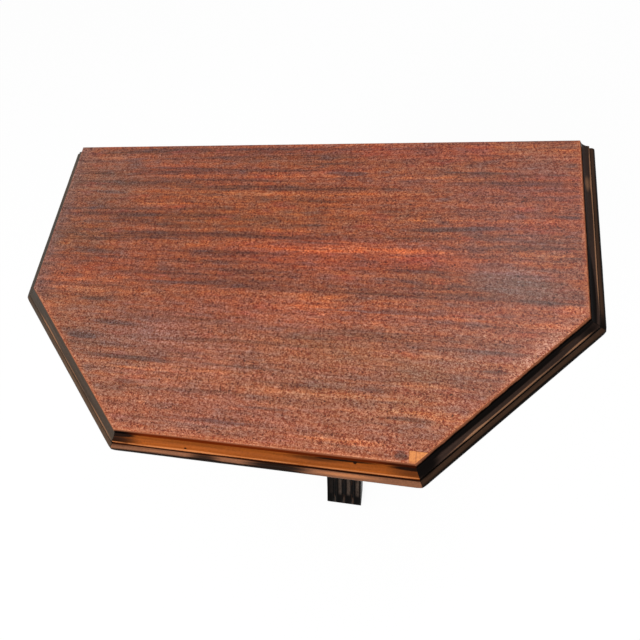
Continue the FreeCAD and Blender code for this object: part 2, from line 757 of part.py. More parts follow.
def leg_outline(sketch):
    """Side view of the leg: two tangent arcs and a rounded toe above, two tangent arcs below."""
    curve = sabre_curves()
    vector = FreeCAD.Vector
    back_top = vector(value(FLAT_X), value("leg_top"), 0)
    back_foot = vector(value(FLAT_X), value("leg_bottom"), 0)
    toe_front = vector(value("leg_reach"), curve["toe_centre"].y, 0)
    toe_foot = vector(value("leg_reach"), value("glide_height"), 0)
    pieces = [
        arc_about(curve["knee_centre"], back_top, curve["knee_end"]),
        arc_about(curve["sweep_centre"], curve["knee_end"], curve["toe_start"]),
        arc_about(curve["toe_centre"], curve["toe_start"], toe_front),
        (Part.LineSegment(toe_front, toe_foot), True),
        (Part.LineSegment(toe_foot, curve["heel"]), True),
        arc_about(curve["under_sweep_centre"], curve["heel"], curve["under_knee_end"]),
        arc_about(curve["under_centre"], curve["under_knee_end"], curve["seat_end"]),
        (Part.LineSegment(curve["seat_end"], back_foot), True),
        (Part.LineSegment(back_foot, back_top), True),
    ]
    ends = draw(sketch, pieces)
    knee, sweep, toe, front, sole, under_sweep, under_knee, seat, back = range(len(pieces))
    tangents = {(knee, sweep), (sweep, toe), (toe, front), (under_sweep, under_knee), (under_knee, seat)}
    for index in range(len(pieces)):
        follower = (index + 1) % len(pieces)
        kind = "Tangent" if (index, follower) in tangents else "Coincident"
        sketch.addConstraint(Sketcher.Constraint(kind, index, ends[index][1], follower, ends[follower][0]))
    radii = {
        knee: "knee_radius",
        sweep: "sweep_radius",
        toe: "toe_radius",
        under_sweep: "under_sweep_radius",
        under_knee: "under_knee_radius",
    }
    for index, formula in radii.items():
        bend = sketch.addConstraint(Sketcher.Constraint("Radius", index, value(formula)))
        sketch.setExpression(f"Constraints[{bend}]", bound(formula))
    pin(sketch, knee, ends[knee][0], FLAT_X, "leg_top")
    pin(sketch, knee, 3, FLAT_X)
    pin(sketch, toe, 3, "leg_reach - toe_radius", "glide_height + toe_face")
    pin(sketch, front, ends[front][1], "leg_reach", "glide_height")
    pin(sketch, sole, ends[sole][1], "leg_reach - sole_length", "glide_height")
    pin(sketch, seat, ends[seat][0], f"{FLAT_X} + seat_length", "leg_bottom")
    pin(sketch, back, ends[back][0], FLAT_X, "leg_bottom")


def flute_path(sketch):
    """Line of a flute cutter's centre: level over the drum, round the knee, down the sweep, past the toe."""
    curve = sabre_curves()
    vector = FreeCAD.Vector
    stand_off = value("leg_flute_radius - leg_flute_depth")
    knee = value("knee_radius")
    sweep = value("sweep_radius")
    start = vector(0, value("leg_top") + stand_off, 0)
    knee_start = vector(value(FLAT_X), start.y, 0)
    meeting = curve["sweep_centre"] + (curve["knee_centre"] - curve["sweep_centre"]) * (
        (sweep - stand_off) / (sweep + knee)
    )
    last = curve["toe_start"] - curve["sweep_centre"]
    sweep_end = curve["sweep_centre"] + last * ((sweep - stand_off) / sweep)
    onward = vector(-last.y, last.x, 0).normalize()
    path_end = sweep_end + onward * value("leg_flute_radius + toe_radius + overrun")
    pieces = [
        (Part.LineSegment(start, knee_start), True),
        arc_about(curve["knee_centre"], knee_start, meeting),
        arc_about(curve["sweep_centre"], meeting, sweep_end),
        (Part.LineSegment(sweep_end, path_end), True),
    ]
    ends = draw(sketch, pieces)
    lead, over_knee, down_sweep, run_out = range(len(pieces))
    for index in (lead, over_knee, down_sweep):
        sketch.addConstraint(
            Sketcher.Constraint("Tangent", index, ends[index][1], index + 1, ends[index + 1][0])
        )
    for index, formula in ((over_knee, "knee_radius + leg_flute_radius - leg_flute_depth"),
                           (down_sweep, "sweep_radius - leg_flute_radius + leg_flute_depth")):
        bend = sketch.addConstraint(Sketcher.Constraint("Radius", index, value(formula)))
        sketch.setExpression(f"Constraints[{bend}]", bound(formula))
    pin(sketch, lead, ends[lead][0], "0", "leg_top + leg_flute_radius - leg_flute_depth")
    pin(sketch, over_knee, 3, FLAT_X, "leg_top - knee_radius")


def leg_front():
    """Sabre leg: padded from its side view, with flutes that follow the top over knee and sweep."""
    body = new_body("leg_front", y=AXIS_Y, turn=LEG_TURNS[0])
    side = new_sketch(body, "LegSide", "XZ_Plane")
    leg_outline(side)
    pad(body, side, "leg_width", midplane=True)
    path = new_sketch(body, "FlutePath", "XZ_Plane")
    flute_path(path)
    for number, share in enumerate(LEG_FLUTE_SHARES, start=1):
        cutter = new_sketch(body, f"LegFlute{number}", "YZ_Plane")
        circles(
            cutter,
            [(f"{share} * leg_flute_pitch", "leg_top + leg_flute_radius - leg_flute_depth")],
            "leg_flute_radius",
        )
        flute = body.newObject("PartDesign::SubtractivePipe", f"LegFluteCut{number}")
        flute.Profile = cutter
        flute.Spine = (path, [])
        flute.Mode = "Frenet"
    holes = new_sketch(body, "LegDowels", "YZ_Plane", FLAT_X)
    circles(holes, DOWEL_PLACES, "dowel_radius + screw_clearance")
    pocket(body, holes, "dowel_in_leg + screw_clearance", reverse=True)
    brace = new_sketch(body, "LegPilot", "XY_Plane", "leg_bottom")
    circles(brace, [(BRACE_LEG_X, "0")], "brace_screw_radius + screw_clearance")
    pocket(body, brace, "brace_screw_bite + screw_clearance", reverse=True)
    nail = new_sketch(body, "GlideNail", "XY_Plane", "glide_height")
    circles(nail, [("leg_reach - glide_setback", "0")], "glide_nail_radius + screw_clearance")
    pocket(body, nail, "glide_nail + screw_clearance", reverse=True)
    return body


def leg_copy(label, original, turn):
    """A rear leg: the same leg turned about the column."""
    body = doc.addObject("PartDesign::Body", label)
    body.Label = label
    same = body.newObject("PartDesign::FeatureBase", label + "Shape")
    same.BaseFeature = original
    body.Tip = same
    body.Placement = FreeCAD.Placement(FreeCAD.Vector(), FreeCAD.Rotation(FreeCAD.Vector(0, 0, 1), turn))
    body.setExpression("Placement.Base.y", bound(AXIS_Y))
    return body


def leg_dowels():
    """Two dowels per leg, half in the leg and half in the drum."""
    length = value("dowel_in_drum + dowel_in_leg")
    inner_end = FreeCAD.Vector(value(f"{FLAT_X} - dowel_in_drum"), 0, 0)
    dowel = Part.makeCylinder(value("dowel_radius"), length, inner_end, FreeCAD.Vector(1, 0, 0))
    dowels = []
    for turn in LEG_TURNS:
        for height in DOWEL_HEIGHTS:
            dowels.append(moved(dowel, 0, 0, value(height), turn))
    return grouped("leg_dowels", dowels)


# Brace and glides


def brace_plate():
    """Three-armed steel plate screwed up under the drum and the legs' seats."""
    body = new_body("brace_plate", y=AXIS_Y, z="leg_bottom - brace_thickness", turn=LEG_TURNS[0])
    disc = new_sketch(body, "BraceDisc", "XY_Plane")
    circles(disc, [("0", "0")], "brace_radius")
    pad(body, disc, "brace_thickness")
    arm_end = f"({FLAT_X} + seat_length - brace_arm_width / 2)"
    arm = new_sketch(body, "BraceArm", "XY_Plane")
    outline(arm, [
        ("0", "0 - brace_arm_width / 2"),
        (arm_end, "0 - brace_arm_width / 2", "brace_arm_width / 2", 1),
        (f"{arm_end} + brace_arm_width / 2", "0", "brace_arm_width / 2", 1),
        (arm_end, "brace_arm_width / 2"),
        ("0", "brace_arm_width / 2"),
    ])
    arms = pad(body, arm, "brace_thickness")
    holes = new_sketch(body, "BraceHoles", "XY_Plane")
    circles(holes, [(BRACE_LEG_X, "0"), (BRACE_DRUM_X, "0")], "brace_screw_radius + screw_clearance")
    drilled = pocket(body, holes)
    doc.recompute()
    polar(body, [arms, drilled], len(LEG_TURNS))
    return body


def brace_screws():
    """Dome-headed screws through the brace, one in the drum and one in each leg per arm."""
    radius = value("brace_screw_radius")
    head = value("brace_screw_head")
    dome = value("brace_screw_dome")
    low = value("leg_bottom - brace_thickness")
    ball_radius = (head ** 2 + dome ** 2) / (2 * dome)
    ball = Part.makeSphere(ball_radius, FreeCAD.Vector(0, 0, ball_radius - dome))
    slab = Part.makeCylinder(head, dome, FreeCAD.Vector(0, 0, -dome))
    shank = Part.makeCylinder(radius, value("brace_thickness + brace_screw_bite"))
    screw = ball.common(slab).fuse(shank).removeSplitter()
    places = []
    for turn in LEG_TURNS:
        for reach in (BRACE_LEG_X, BRACE_DRUM_X):
            spot = FreeCAD.Rotation(FreeCAD.Vector(0, 0, 1), turn).multVec(FreeCAD.Vector(value(reach), 0, 0))
            places.append(moved(screw, spot.x, spot.y, low))
    return grouped("brace_screws", places)


def foot_glides():
    """Domed nail-on glides, one under each toe, on which the table stands."""
    rim = value("glide_radius")
    sole = value("glide_sole_radius")
    height = value("glide_height")
    edge = value("glide_height - glide_rim")
    nail = value("glide_nail_radius")
    tip = value("glide_height + glide_nail")
    vector = FreeCAD.Vector
    points = [vector(sole, 0, 0), vector(rim, 0, edge), vector(rim, 0, height), vector(nail, 0, height),
              vector(nail, 0, tip - nail), vector(0, 0, tip), vector(0, 0, 0)]
    swell = (points[0] + points[1]) / 2 + vector(edge, 0, -(rim - sole)).normalize() * value("glide_swell")
    edges = [Part.Arc(points[0], swell, points[1]).toShape()]
    edges += [Part.LineSegment(a, b).toShape() for a, b in zip(points[1:], points[2:] + points[:1])]
    glide = Part.Face(Part.Wire(edges)).revolve(vector(), vector(0, 0, 1), 360)
    places = []
    for turn in LEG_TURNS:
        reach = vector(value("leg_reach - glide_setback"), 0, 0)
        spot = FreeCAD.Rotation(vector(0, 0, 1), turn).multVec(reach)
        places.append(moved(glide, spot.x, spot.y, 0))
    return grouped("foot_glides", places)


def build():
    pieces = [top_core(), top_veneer(), corner_patch(), backing_veneer(), back_lipping()]
    pieces += mouldings()
    pieces += bearers()
    pieces += [bearer_screws(), column(), column_wedge(), column_ring(), column_collar(), drum()]
    front = leg_front()
    doc.recompute()
    pieces.append(front)
    pieces.append(leg_copy("leg_rear_right", front, LEG_TURNS[1]))
    pieces.append(leg_copy("leg_rear_left", front, LEG_TURNS[2]))
    pieces += [leg_dowels(), brace_plate(), brace_screws(), foot_glides()]
    doc.recompute()
    return pieces


def check(pieces):
    for item in doc.Objects:
        if "Invalid" in item.State or "Error" in item.State:
            raise RuntimeError(f"{item.Label} did not build: {item.State}")
    for piece in pieces:
        if piece.Shape.isNull() or not piece.Shape.isValid():
            raise RuntimeError(f"{piece.Label} has no valid shape")


def write(pieces):
    os.makedirs("parts", exist_ok=True)
    for piece in pieces:
        piece.Shape.exportStep(f"parts/{piece.Label}.step")
        box = piece.Shape.BoundBox
        print(piece.Label, len(piece.Shape.Solids), "solid(s)", f"{piece.Shape.Volume:.0f} mm3",
              f"z {box.ZMin:.2f} to {box.ZMax:.2f}")


table = build()
check(table)
write(table)
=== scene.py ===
import math

import bmesh
import bpy
from mathutils import Euler, Matrix, Vector, noise


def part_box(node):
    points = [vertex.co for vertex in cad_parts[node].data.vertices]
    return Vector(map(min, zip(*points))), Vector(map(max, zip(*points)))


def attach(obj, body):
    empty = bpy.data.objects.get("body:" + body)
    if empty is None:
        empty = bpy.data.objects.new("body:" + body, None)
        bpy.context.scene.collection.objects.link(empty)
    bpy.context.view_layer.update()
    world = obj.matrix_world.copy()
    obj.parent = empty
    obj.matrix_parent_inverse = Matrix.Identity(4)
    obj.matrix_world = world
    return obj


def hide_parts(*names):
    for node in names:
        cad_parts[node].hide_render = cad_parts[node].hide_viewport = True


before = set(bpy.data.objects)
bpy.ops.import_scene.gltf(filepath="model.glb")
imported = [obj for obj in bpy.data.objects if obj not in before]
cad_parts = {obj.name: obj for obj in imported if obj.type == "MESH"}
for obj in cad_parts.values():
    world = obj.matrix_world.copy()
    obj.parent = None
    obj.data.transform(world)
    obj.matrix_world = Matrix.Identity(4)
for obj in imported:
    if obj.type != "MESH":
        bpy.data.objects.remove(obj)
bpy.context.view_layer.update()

bl_info = {
    "name": "Accent Table",
    "version": (1, 0, 0),
    "blender": (4, 5, 0),
    "location": "3D View > Sidebar > Accent Table",
    "description": "Makes a half-octagonal veneered table on a fluted column and three sabre legs",
    "category": "Object",
}

# Everything is in metres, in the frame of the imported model: the front faces -Y and +Z is up.
UPRIGHT = Vector((0, 0, 1))
FIELD_LOW, FIELD_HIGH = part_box("top_veneer")
PATCH_LOW, PATCH_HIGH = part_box("corner_patch")
COLUMN_LOW, COLUMN_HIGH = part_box("column")
COLUMN_AXIS = (COLUMN_LOW + COLUMN_HIGH) / 2 * Vector((1, 1, 0))
TOP_Z = FIELD_HIGH.z
MILLIMETRE = 0.001
FLUTE_PITCH = 0.020

# Distances under which places count as one.
SAME_PLACE = 1e-6
MERGE_DISTANCE = 2e-6
CUT_DISTANCE = 1e-7

# Angles between two faces: under the first they are one plane, over the second their edge is rounded,
# and over the third it is shaded as sharp.
FLAT_ANGLE = math.radians(0.5)
KEEN_ANGLE = math.radians(28)
SHARP_ANGLE = math.radians(32)

# Steps of the moulding's two curves.
COVE_STEPS = 10
BEAD_STEPS = 18

# Heights of the normals between which a face counts as sloping.
LEAST_SLOPE, MOST_SLOPE = 0.1, 0.9

# Wear of the mouldings: where it starts across the cove, how far down it goes, its unevenness and its way.
WEAR_START = 0.2
WEAR_DEPTH = 0.0225
WEAR_RIPPLES = Vector((60, 200, 200))
WEAR_WAY = Vector((0, 0.7, 0.7))

# Ranges over which a finish, or the light and shade painted into it, changes, along X unless the name says
# otherwise.
# Painted light on the legs: their flutes lighter where they face up, partly dust and partly painted light.
FLUTE_DUST_AND_LIGHT_ACROSS = (-0.019, -0.006)
FLUTE_DUST_AND_LIGHT_END = (0.212, 0.219)
# Painted highlights on the legs' worn ridges at the toe.
WORN_RIDGE_HIGHLIGHTS_ACROSS = (0.022, 0.026)
WORN_RIDGE_HIGHLIGHTS_START = (0.218, 0.224)
# Painted shade on the front bevel under the field's edge: a painted shadow at the front left, darker at the
# right corner and towards the right.
FRONT_PIT_SHADOW = (-0.150, -0.118)
FRONT_CORNER_SHADE = (0.118, 0.142)
FRONT_BEVEL_SHADE = (-0.03, 0.08)
# Grey towards the left end of the bevel and of the mouldings: partly dust and partly painted reflection.
BEVEL_DUST_AND_REFLECTION = (-0.315, -0.270)
MOULDING_DUST_AND_REFLECTION = (-0.330, -0.260)
# Heights of the bevel's rubbed top, partly wear and partly painted highlight.
RUBBED_HIGHLIGHT_HEIGHTS = (TOP_Z - 0.0035, TOP_Z - 0.0017)
# Where the painted sheen towards the front fades.
SHEEN_DEPTH = (-0.105, 0.035)
# Where the painted reflection at the field's left end fades.
LEFT_REFLECTION = (-0.322, -0.286)
# Start and end of the painted sheen near the right cant.
SHEEN_SPOT_START = (0.225, 0.265)
SHEEN_SPOT_END = (0.285, 0.305)

# Width of the band on the arris, partly worn and partly painted highlight, and places of the groove past the
# step and the seam in the patch.
ARRIS_WEAR_AND_HIGHLIGHT_REACH = 0.0012
GROOVE_OFFSET = 0.0005
PATCH_SEAM = 0.0066

# Tints that multiply the veneer's colour, from one end of a change to the other.
FINE_TINTS = ((0.86, 1.00, 1.22), (1.14, 1.01, 0.78))
RED_TINTS = ((0.89, 1.06, 1.03), (1.12, 0.92, 0.95))
AMBER_TINTS = ((0.97, 0.97, 1.20), (1.05, 1.03, 0.79))

# How strongly fine lines and flecks change each colour of the veneer, and the darkest that they make it.
LINE_COLOUR = (0.65, 1.12, 1.75)
FLECK_COLOUR = (1.62, 2.95, 3.75)
DARKEST_SHADE = (0.25, 0.25, 0.25)

# The two lamps: place, what they are turned to, and width.
KEY_LAMP = ((-0.75, -1.9, 2.6), (0.0, 0.0, 0.6), 1.6)
SHEEN_LAMP = ((0.55, 0.69, 2.23), (0.26, 0.01, 0.73), 0.5)

# The floor's grey where it takes shadows and its own light elsewhere, and the camera's two measures.
FLOOR_PAINT = 0.86
FLOOR_LIGHT = 1.03
SENSOR_WIDTH = 36.0
CLIP_START = 0.01

# Places of a Mix node's factor and two colours among its inputs, and of its colour among its outputs.
MIX_INPUTS = (0, 6, 7)
MIX_RESULT = 2

# How far a mitre runs along a moulding for each metre across it.
MITRE = math.tan(math.pi / 8)

# The turn that lays an upright grain along X.
UPRIGHT_GRAIN = (0, math.pi / 2, 0)

# The turn of each leg about the column, counted from +X.
LEG_TURNS = {"leg_front": -90, "leg_rear_right": 30, "leg_rear_left": 150}

# How far each length of moulding is turned, so that its face looks outwards.
MOULDING_TURNS = {
    "moulding_side_left": 90,
    "moulding_cant_left": 135,
    "moulding_front": 180,
    "moulding_cant_right": -135,
    "moulding_side_right": -90,
}

# Darker streaks of the veneer's figure, chosen and written in millimetres:
# from x, to x, y at those two ends, width across the grain, strength.
DARK_STREAKS = [
    (-235, -90, 170, 167, 7, 0.8),
    (-296, -214, 132, 130, 9, 1.0),
    (-232, -98, 85, 83, 5, 0.7),
    (-278, -193, 44, 42, 9, 0.8),
    (-230, -30, 7, 5, 6, 0.8),
    (-262, -193, -20, -22, 7, 0.9),
    (-244, -148, -47, -49, 9, 0.8),
    (-260, -203, -66, -68, 9, 1.2),
    (-248, -90, -87, -90, 8, 1.1),
    (-110, 40, -89, -90, 5, 0.7),
    (-187, -133, -116, -118, 7, 0.8),
    (-157, -108, -154, -154, 6, 0.8),
    (-52, -23, 166, 166, 5, 0.7),
    (22, 96, 161, 159, 8, 1.1),
    (138, 278, 162, 158, 6, 0.8),
    (84, 142, 137, 137, 6, 0.7),
    (84, 140, 108, 108, 6, 0.8),
    (112, 274, 82, 89, 8, 1.1),
    (-8, 60, 87, 87, 6, 0.8),
    (-33, 90, 65, 65, 5, 0.7),
    (247, 308, 72, 72, 7, 0.7),
    (108, 204, 31, 31, 6, 0.7),
    (250, 309, 2, 2, 8, 0.7),
    (16, 204, -17, -17, 6, 0.8),
    (180, 273, -55, -55, 7, 0.8),
    (198, 252, -75, -75, 7, 0.8),
    (86, 143, -104, -104, 6, 0.8),
    (112, 184, -129, -129, 8, 0.9),
    (-48, 52, -132, -132, 5, 0.7),
    (-128, 32, -150, -150, 6, 0.9),
    (138, 154, -163.5, -163.5, 12, 1.5),
]

# Brighter, more orange streaks, written in the same way.
BRIGHT_STREAKS = [
    (-207, -108, 116, 116, 7, 0.8),
    (-262, -236, 65, 65, 6, 0.7),
    (-317, -285, 56, 54, 16, 0.9),
    (-316, -200, -7, -9, 7, 1.3),
    (284, 319, -3, -3, 11, 0.9),
    (-244, -110, -81, -81, 4, 0.7),
    (-222, -98, -101, -101, 7, 0.9),
    (-147, -125, -138, -138, 6, 0.9),
    (97, 243, 153, 153, 6, 0.9),
    (84, 208, 94, 98, 6, 0.8),
    (-80, 290, 57, 57, 12, 0.9),
    (240, 320, 57, 57, 13, 0.9),
    (228, 319, 77, 77, 5, 0.8),
    (38, 70, -24, -24, 5, 0.8),
    (84, 254, -60, -66, 6, 0.7),
    (122, 204, -95, -95, 10, 0.9),
    (92, 190, -121, -121, 5, 0.8),
    (-69, -45, -125, -125, 4, 0.7),
    (34, 152, -155, -155, 11, 0.9),
    (-158, 158, -167, -167, 5, 0.6),
]

# Painted reflections in the polish, greyish-lilac clouds, written in the same way as the streaks.
REFLECTION_CLOUDS = [
    (190, 318, 30, 14, 50, 1.1),
    (110, 268, -94, -40, 34, 0.55),
    (-262, -60, -62, -58, 52, 0.45),
    (-322, -180, 150, 146, 90, 0.5),
    (235, 318, 176, 168, 50, 0.55),
]

# Broad zones where the veneer is redder, or greener where the strength is negative.
RED_ZONES = [
    (-140, 270, 50, 50, 44, 1.0),
    (30, 240, 192, 190, 24, 0.9),
    (-400, -190, 115, 110, 200, -0.8),
    (-340, -130, -60, -90, 150, -0.7),
    (-60, 220, -90, -90, 120, -0.6),
]

# Broad zones where the veneer is more amber, or greyer where the strength is negative.
AMBER_ZONES = [
    (-250, 150, 110, 114, 110, 0.6),
    (-30, 130, -66, -66, 50, 0.6),
    (120, 200, -97, -97, 54, 1.0),
    (30, 140, -157, -157, 18, 1.0),
    (-160, 240, -26, -24, 40, -0.6),
    (140, 360, 110, 110, 90, -0.6),
]

# Marks on each length of moulding, in millimetres: from x, to x, across, width, strength.
# Here x runs clockwise along the length from its middle, and across counts outwards from the cove's top.
# The dark marks are partly dark stain and partly painted shade: under the field's edge, under the bead, and
# over the right coves.
DARK_AND_SHADE_MARKS = {
    "moulding_front": [
        (132, 190, 0.6, 5.0, 1.3),
        (124, 200, 6.0, 16.0, 0.95),
        (-190, -128, 0.8, 5.0, 0.8),
        (76, 80, 6.9, 2.2, 1.2),
        (-104, -100, 1.6, 3.0, 1.3),
        (34, 80, 13.6, 7.5, 0.85),
        (-66, 22, 13.6, 7.5, 1.05),
        (-135, -60, 0.6, 2.4, 0.9),
        (-102, -22, 2.0, 7.0, 0.65),
        (-196, -120, 5.0, 12.0, 0.7),
        (-100, 280, 17.4, 6.0, 1.6),
        (-260, 60, 10.8, 2.0, 1.1),
        (20, 140, 10.8, 1.6, 0.5),
    ],
    "moulding_cant_right": [
        (-140, 140, 0.0, 10.5, 2.2),
        (86, 130, 5.0, 16.0, 1.2),
        (-125, -88, 6.0, 12.0, 0.9),
        (-200, 200, 17.2, 6.6, 1.5),
    ],
    "moulding_cant_left": [(60, 120, 6.0, 5.0, 0.3)],
    "moulding_side_right": [
        (20, 150, 0.0, 15.0, 2.2),
        (-30, 60, 0.0, 5.0, 0.8),
        (92, 140, 12.0, 12.0, 0.9),
        (-200, 200, 17.0, 8.0, 1.5),
    ],
    "moulding_side_left": [(-120, 120, 12.0, 5.0, 0.3)],
}

# Worn marks, where the wood shows through, written in the same way.
WORN_MARKS = {
    "moulding_front": [
        (4, 152, 9.1, 3.2, 1.1),
        (-44, 14, 9.3, 3.2, 1.0),
        (-146, -36, 9.4, 3.0, 0.9),
        (-164, -120, 9.6, 3.0, 0.8),
        (-140, -52, 14.0, 4.0, 0.75),
        (92, 134, 13.2, 2.2, 0.45),
        (28, 50, 14.2, 2.4, 0.4),
        (60, 130, 3.6, 3.0, 0.30),
        (-130, -86, 5.0, 3.6, 0.35),
    ],
    "moulding_cant_right": [
        (30, 64, 8.7, 3.0, 1.3),
        (-106, 100, 8.8, 2.4, 0.9),
        (-112, -66, 8.7, 2.8, 1.1),
        (-56, 6, 7.0, 3.6, 0.40),
        (-98, -62, 3.0, 2.4, 0.35),
        (6, 84, 6.6, 2.4, 0.25),
        (40, 100, 13.6, 2.0, 0.20),
    ],
    "moulding_cant_left": [
        (-128, -50, 8.8, 3.0, 1.2),
        (-60, 30, 8.8, 2.8, 0.8),
        (14, 88, 8.7, 3.2, 1.3),
        (-40, 20, 13.0, 3.0, 0.3),
    ],
    "moulding_side_right": [
        (-40, 108, 9.1, 3.2, 1.2),
        (-124, 0, 9.1, 3.6, 1.4),
        (-70, -42, 5.0, 9.0, 0.75),
    ],
    "moulding_side_left": [(-110, -20, 8.8, 2.4, 0.5)],
}


# Sizes, colours and the stage that a user can change


def number(name, description, default, **settings):
    return bpy.props.FloatProperty(
        name=name, description=description, default=default, min=0.0, **settings
    )


def length(name, description, default):
    return number(name, description, default, unit="LENGTH", precision=4)


def share(name, description, default):
    return number(name, description, default, subtype="FACTOR")


def power(name, description, default):
    return number(name, description, default, unit="POWER")


def point(name, description, default):
    return bpy.props.FloatVectorProperty(
        name=name, description=description, default=default, subtype="TRANSLATION", unit="LENGTH"
    )


def colour(name, description, default):
    return bpy.props.FloatVectorProperty(
        name=name, description=description, default=default, min=0.0, max=1.0, subtype="COLOR"
    )


class TableSizes(bpy.types.PropertyGroup):
    """Sizes of what is modelled here: the field, its patch and the edge moulding."""

    corner_cut: length("Corner cut", "How far the cants cut the two front corners", 0.160)
    bevel_run: length("Bevel run", "Width of the bevel round the raised field", 0.0034)
    bevel_drop: length("Bevel drop", "Height of the bevel round the raised field", 0.0053)
    field_ease: length("Field ease", "Rounding of the field's worn arris", 0.0005)
    cove_width: length("Cove width", "Width of the moulding's cove", 0.0092)
    cove_drop: length("Cove drop", "Height of the moulding's cove", 0.0047)
    cove_radius: length("Cove radius", "Radius of the moulding's cove", 0.0123)
    step_run: length("Step run", "Slope of the step under the cove", 0.0005)
    step_drop: length("Step drop", "Height of the step under the cove", 0.0022)
    quirk_drop: length("Quirk drop", "Depth of the quirk between step and bead", 0.0015)
    bead_radius: length("Bead radius", "Radius of the moulding's bead", 0.0053)
    moulding_ease: length("Moulding ease", "Rounding of the moulding's arrises", 0.0004)
    moulding_step: length("Moulding step", "Length between two rings of the moulding's mesh", 0.002)
    corner_reach: length("Corner reach", "How far the worn corners reach along the moulding", 0.006)
    corner_wear: length("Corner wear", "How deep the moulding's corners are worn", 0.0007)
    wear: length("Wear", "How deep use has worn the moulding", 0.00022)
    base_ease: length("Base ease", "Rounding of the arrises of the base", 0.0005)
    board_ease: length("Board ease", "Rounding of the arrises of board and bearers", 0.0008)


class TableColours(bpy.types.PropertyGroup):
    """Colours of the finishes, as linear light."""

    face_dark: colour("Face, dark", "Darkest lines of the face veneer", (0.125, 0.038, 0.022))
    face_mid: colour("Face, middle", "Main colour of the face veneer", (0.262, 0.070, 0.032))
    face_bright: colour("Face, bright", "Orange lines of the face veneer", (0.455, 0.122, 0.042))
    face_plum: colour("Face, plum", "Purple-brown bands of the face veneer", (0.095, 0.046, 0.038))
    face_red: colour("Face, red", "Red parts of the face veneer", (0.300, 0.050, 0.030))
    # Painted reflection: greyish clouds on the polish, and the same grey at the field's left end.
    face_reflection: colour("Face, haze", "Clouds in the polish of the field", (0.150, 0.086, 0.073))
    # Painted sheen: pale towards the front and near the right cant.
    face_sheen: colour("Face, veil", "Pale veil in the polish towards the front", (0.570, 0.243, 0.152))
    # A worn arris with a painted highlight.
    face_worn_arris_highlight: colour("Face, edge", "Worn arris of the field", (0.600, 0.208, 0.088))
    patch_wood: colour("Patch", "Main colour of the corner patch", (0.760, 0.280, 0.085))
    # Near-black, darker than the stain itself: partly stain and partly painted shade where the mouldings and
    # bevel are black.
    stain: colour("Stain", "Near-black stain of the mouldings", (0.0020, 0.0013, 0.0011))
    worn_wood: colour("Worn wood", "Wood where the stain has worn off", (0.620, 0.215, 0.070))
    # The mouldings' cove and bead colours are lit and shaded copies of one stain: painted light on the
    # front, painted shade at the left and darker painted shade at the right.
    front_cove_lit: colour("Front cove", "Thin stain of the front moulding's cove", (0.330, 0.079, 0.011))
    front_bead_lit: colour("Front bead", "Thin stain of the front moulding's bead", (0.235, 0.098, 0.050))
    left_cove_shaded: colour("Left cove", "Dark stain of the coves at the left", (0.082, 0.058, 0.043))
    left_bead_shaded: colour("Left bead", "Dark stain of the beads at the left", (0.086, 0.053, 0.034))
    right_cove_shaded: colour("Right cove", "Dark stain of the coves at the right", (0.036, 0.021, 0.016))
    right_bead_shaded: colour("Right bead", "Dark stain of the beads at the right", (0.037, 0.019, 0.011))
    side_worn: colour("Side wear", "Worn stain of the mouldings at the sides", (0.290, 0.145, 0.078))
    # Grey at the left: partly dust and partly painted reflection.
    dust: colour("Dust", "Grey dust on the mouldings at the left", (0.068, 0.060, 0.051))
    # The front bevel's colour is a lit copy of the stain, painted lighter than the dark bevel at the sides.
    bevel_front_lit: colour("Front bevel", "Thin stain of the front bevel", (0.160, 0.020, 0.002))
    # The bevel's rubbed top: partly wear and partly painted highlight.
    bevel_worn_highlight: colour("Worn bevel", "Rubbed wood at the top of the bevel", (0.300, 0.100, 0.048))
    # A darker colour in the front moulding's groove.
    groove: colour("Groove", "Dirt in the groove of the moulding", (0.035, 0.006, 0.002))
    # Near-black: partly dark stain and partly painted shade.
    base_stain_and_shade: colour("Base stain", "Dark stain of column, drum and legs", (0.0015, 0.0008, 0.0005))
    # Lighter in the flutes: partly dust and partly painted light where they face up.
    flute_dust_and_light: colour("Flute", "Thin stain and dust in the flutes", (0.085, 0.058, 0.044))
    carcase: colour("Carcase", "Plain wood of board and bearers", (0.360, 0.215, 0.120))
    backing: colour("Backing", "Plain veneer on the underside", (0.240, 0.125, 0.068))
    joint_wood: colour("Joint wood", "Pale wood of wedge and dowels", (0.560, 0.400, 0.240))
    steel: colour("Steel", "Dull steel of brace, screws and glides", (0.330, 0.320, 0.300))
    tarnish: colour("Tarnish", "Tarnish spots on the steel", (0.075, 0.042, 0.026))


class StageSettings(bpy.types.PropertyGroup):
    """Camera, lamps and floor."""

    eye: point("Eye", "Where the camera stands", (0.16413, -0.21891, 1.23468))
    aim: point("Aim", "What the camera looks at", (0.04928, -0.03071, 0.730))
    roll: bpy.props.FloatProperty(
        name="Roll", description="Turn of the camera about its view",
        default=math.radians(-25.783), subtype="ANGLE",
    )
    lens: bpy.props.FloatProperty(name="Lens", description="Focal length in mm", default=28.611, min=1.0)
    sky: share("Sky", "Light that the surroundings give", 0.50)
    key: power("Key", "Power of the main lamp", 48.0)
    sheen: power("Sheen", "Power of the lamp that the polish reflects", 6.0)
    floor_size: length("Floor size", "Half the width of the floor", 6.0)
    floor_glow: share("Floor glow", "Share of the floor's white that takes no shadow", 0.90)


# Node trees


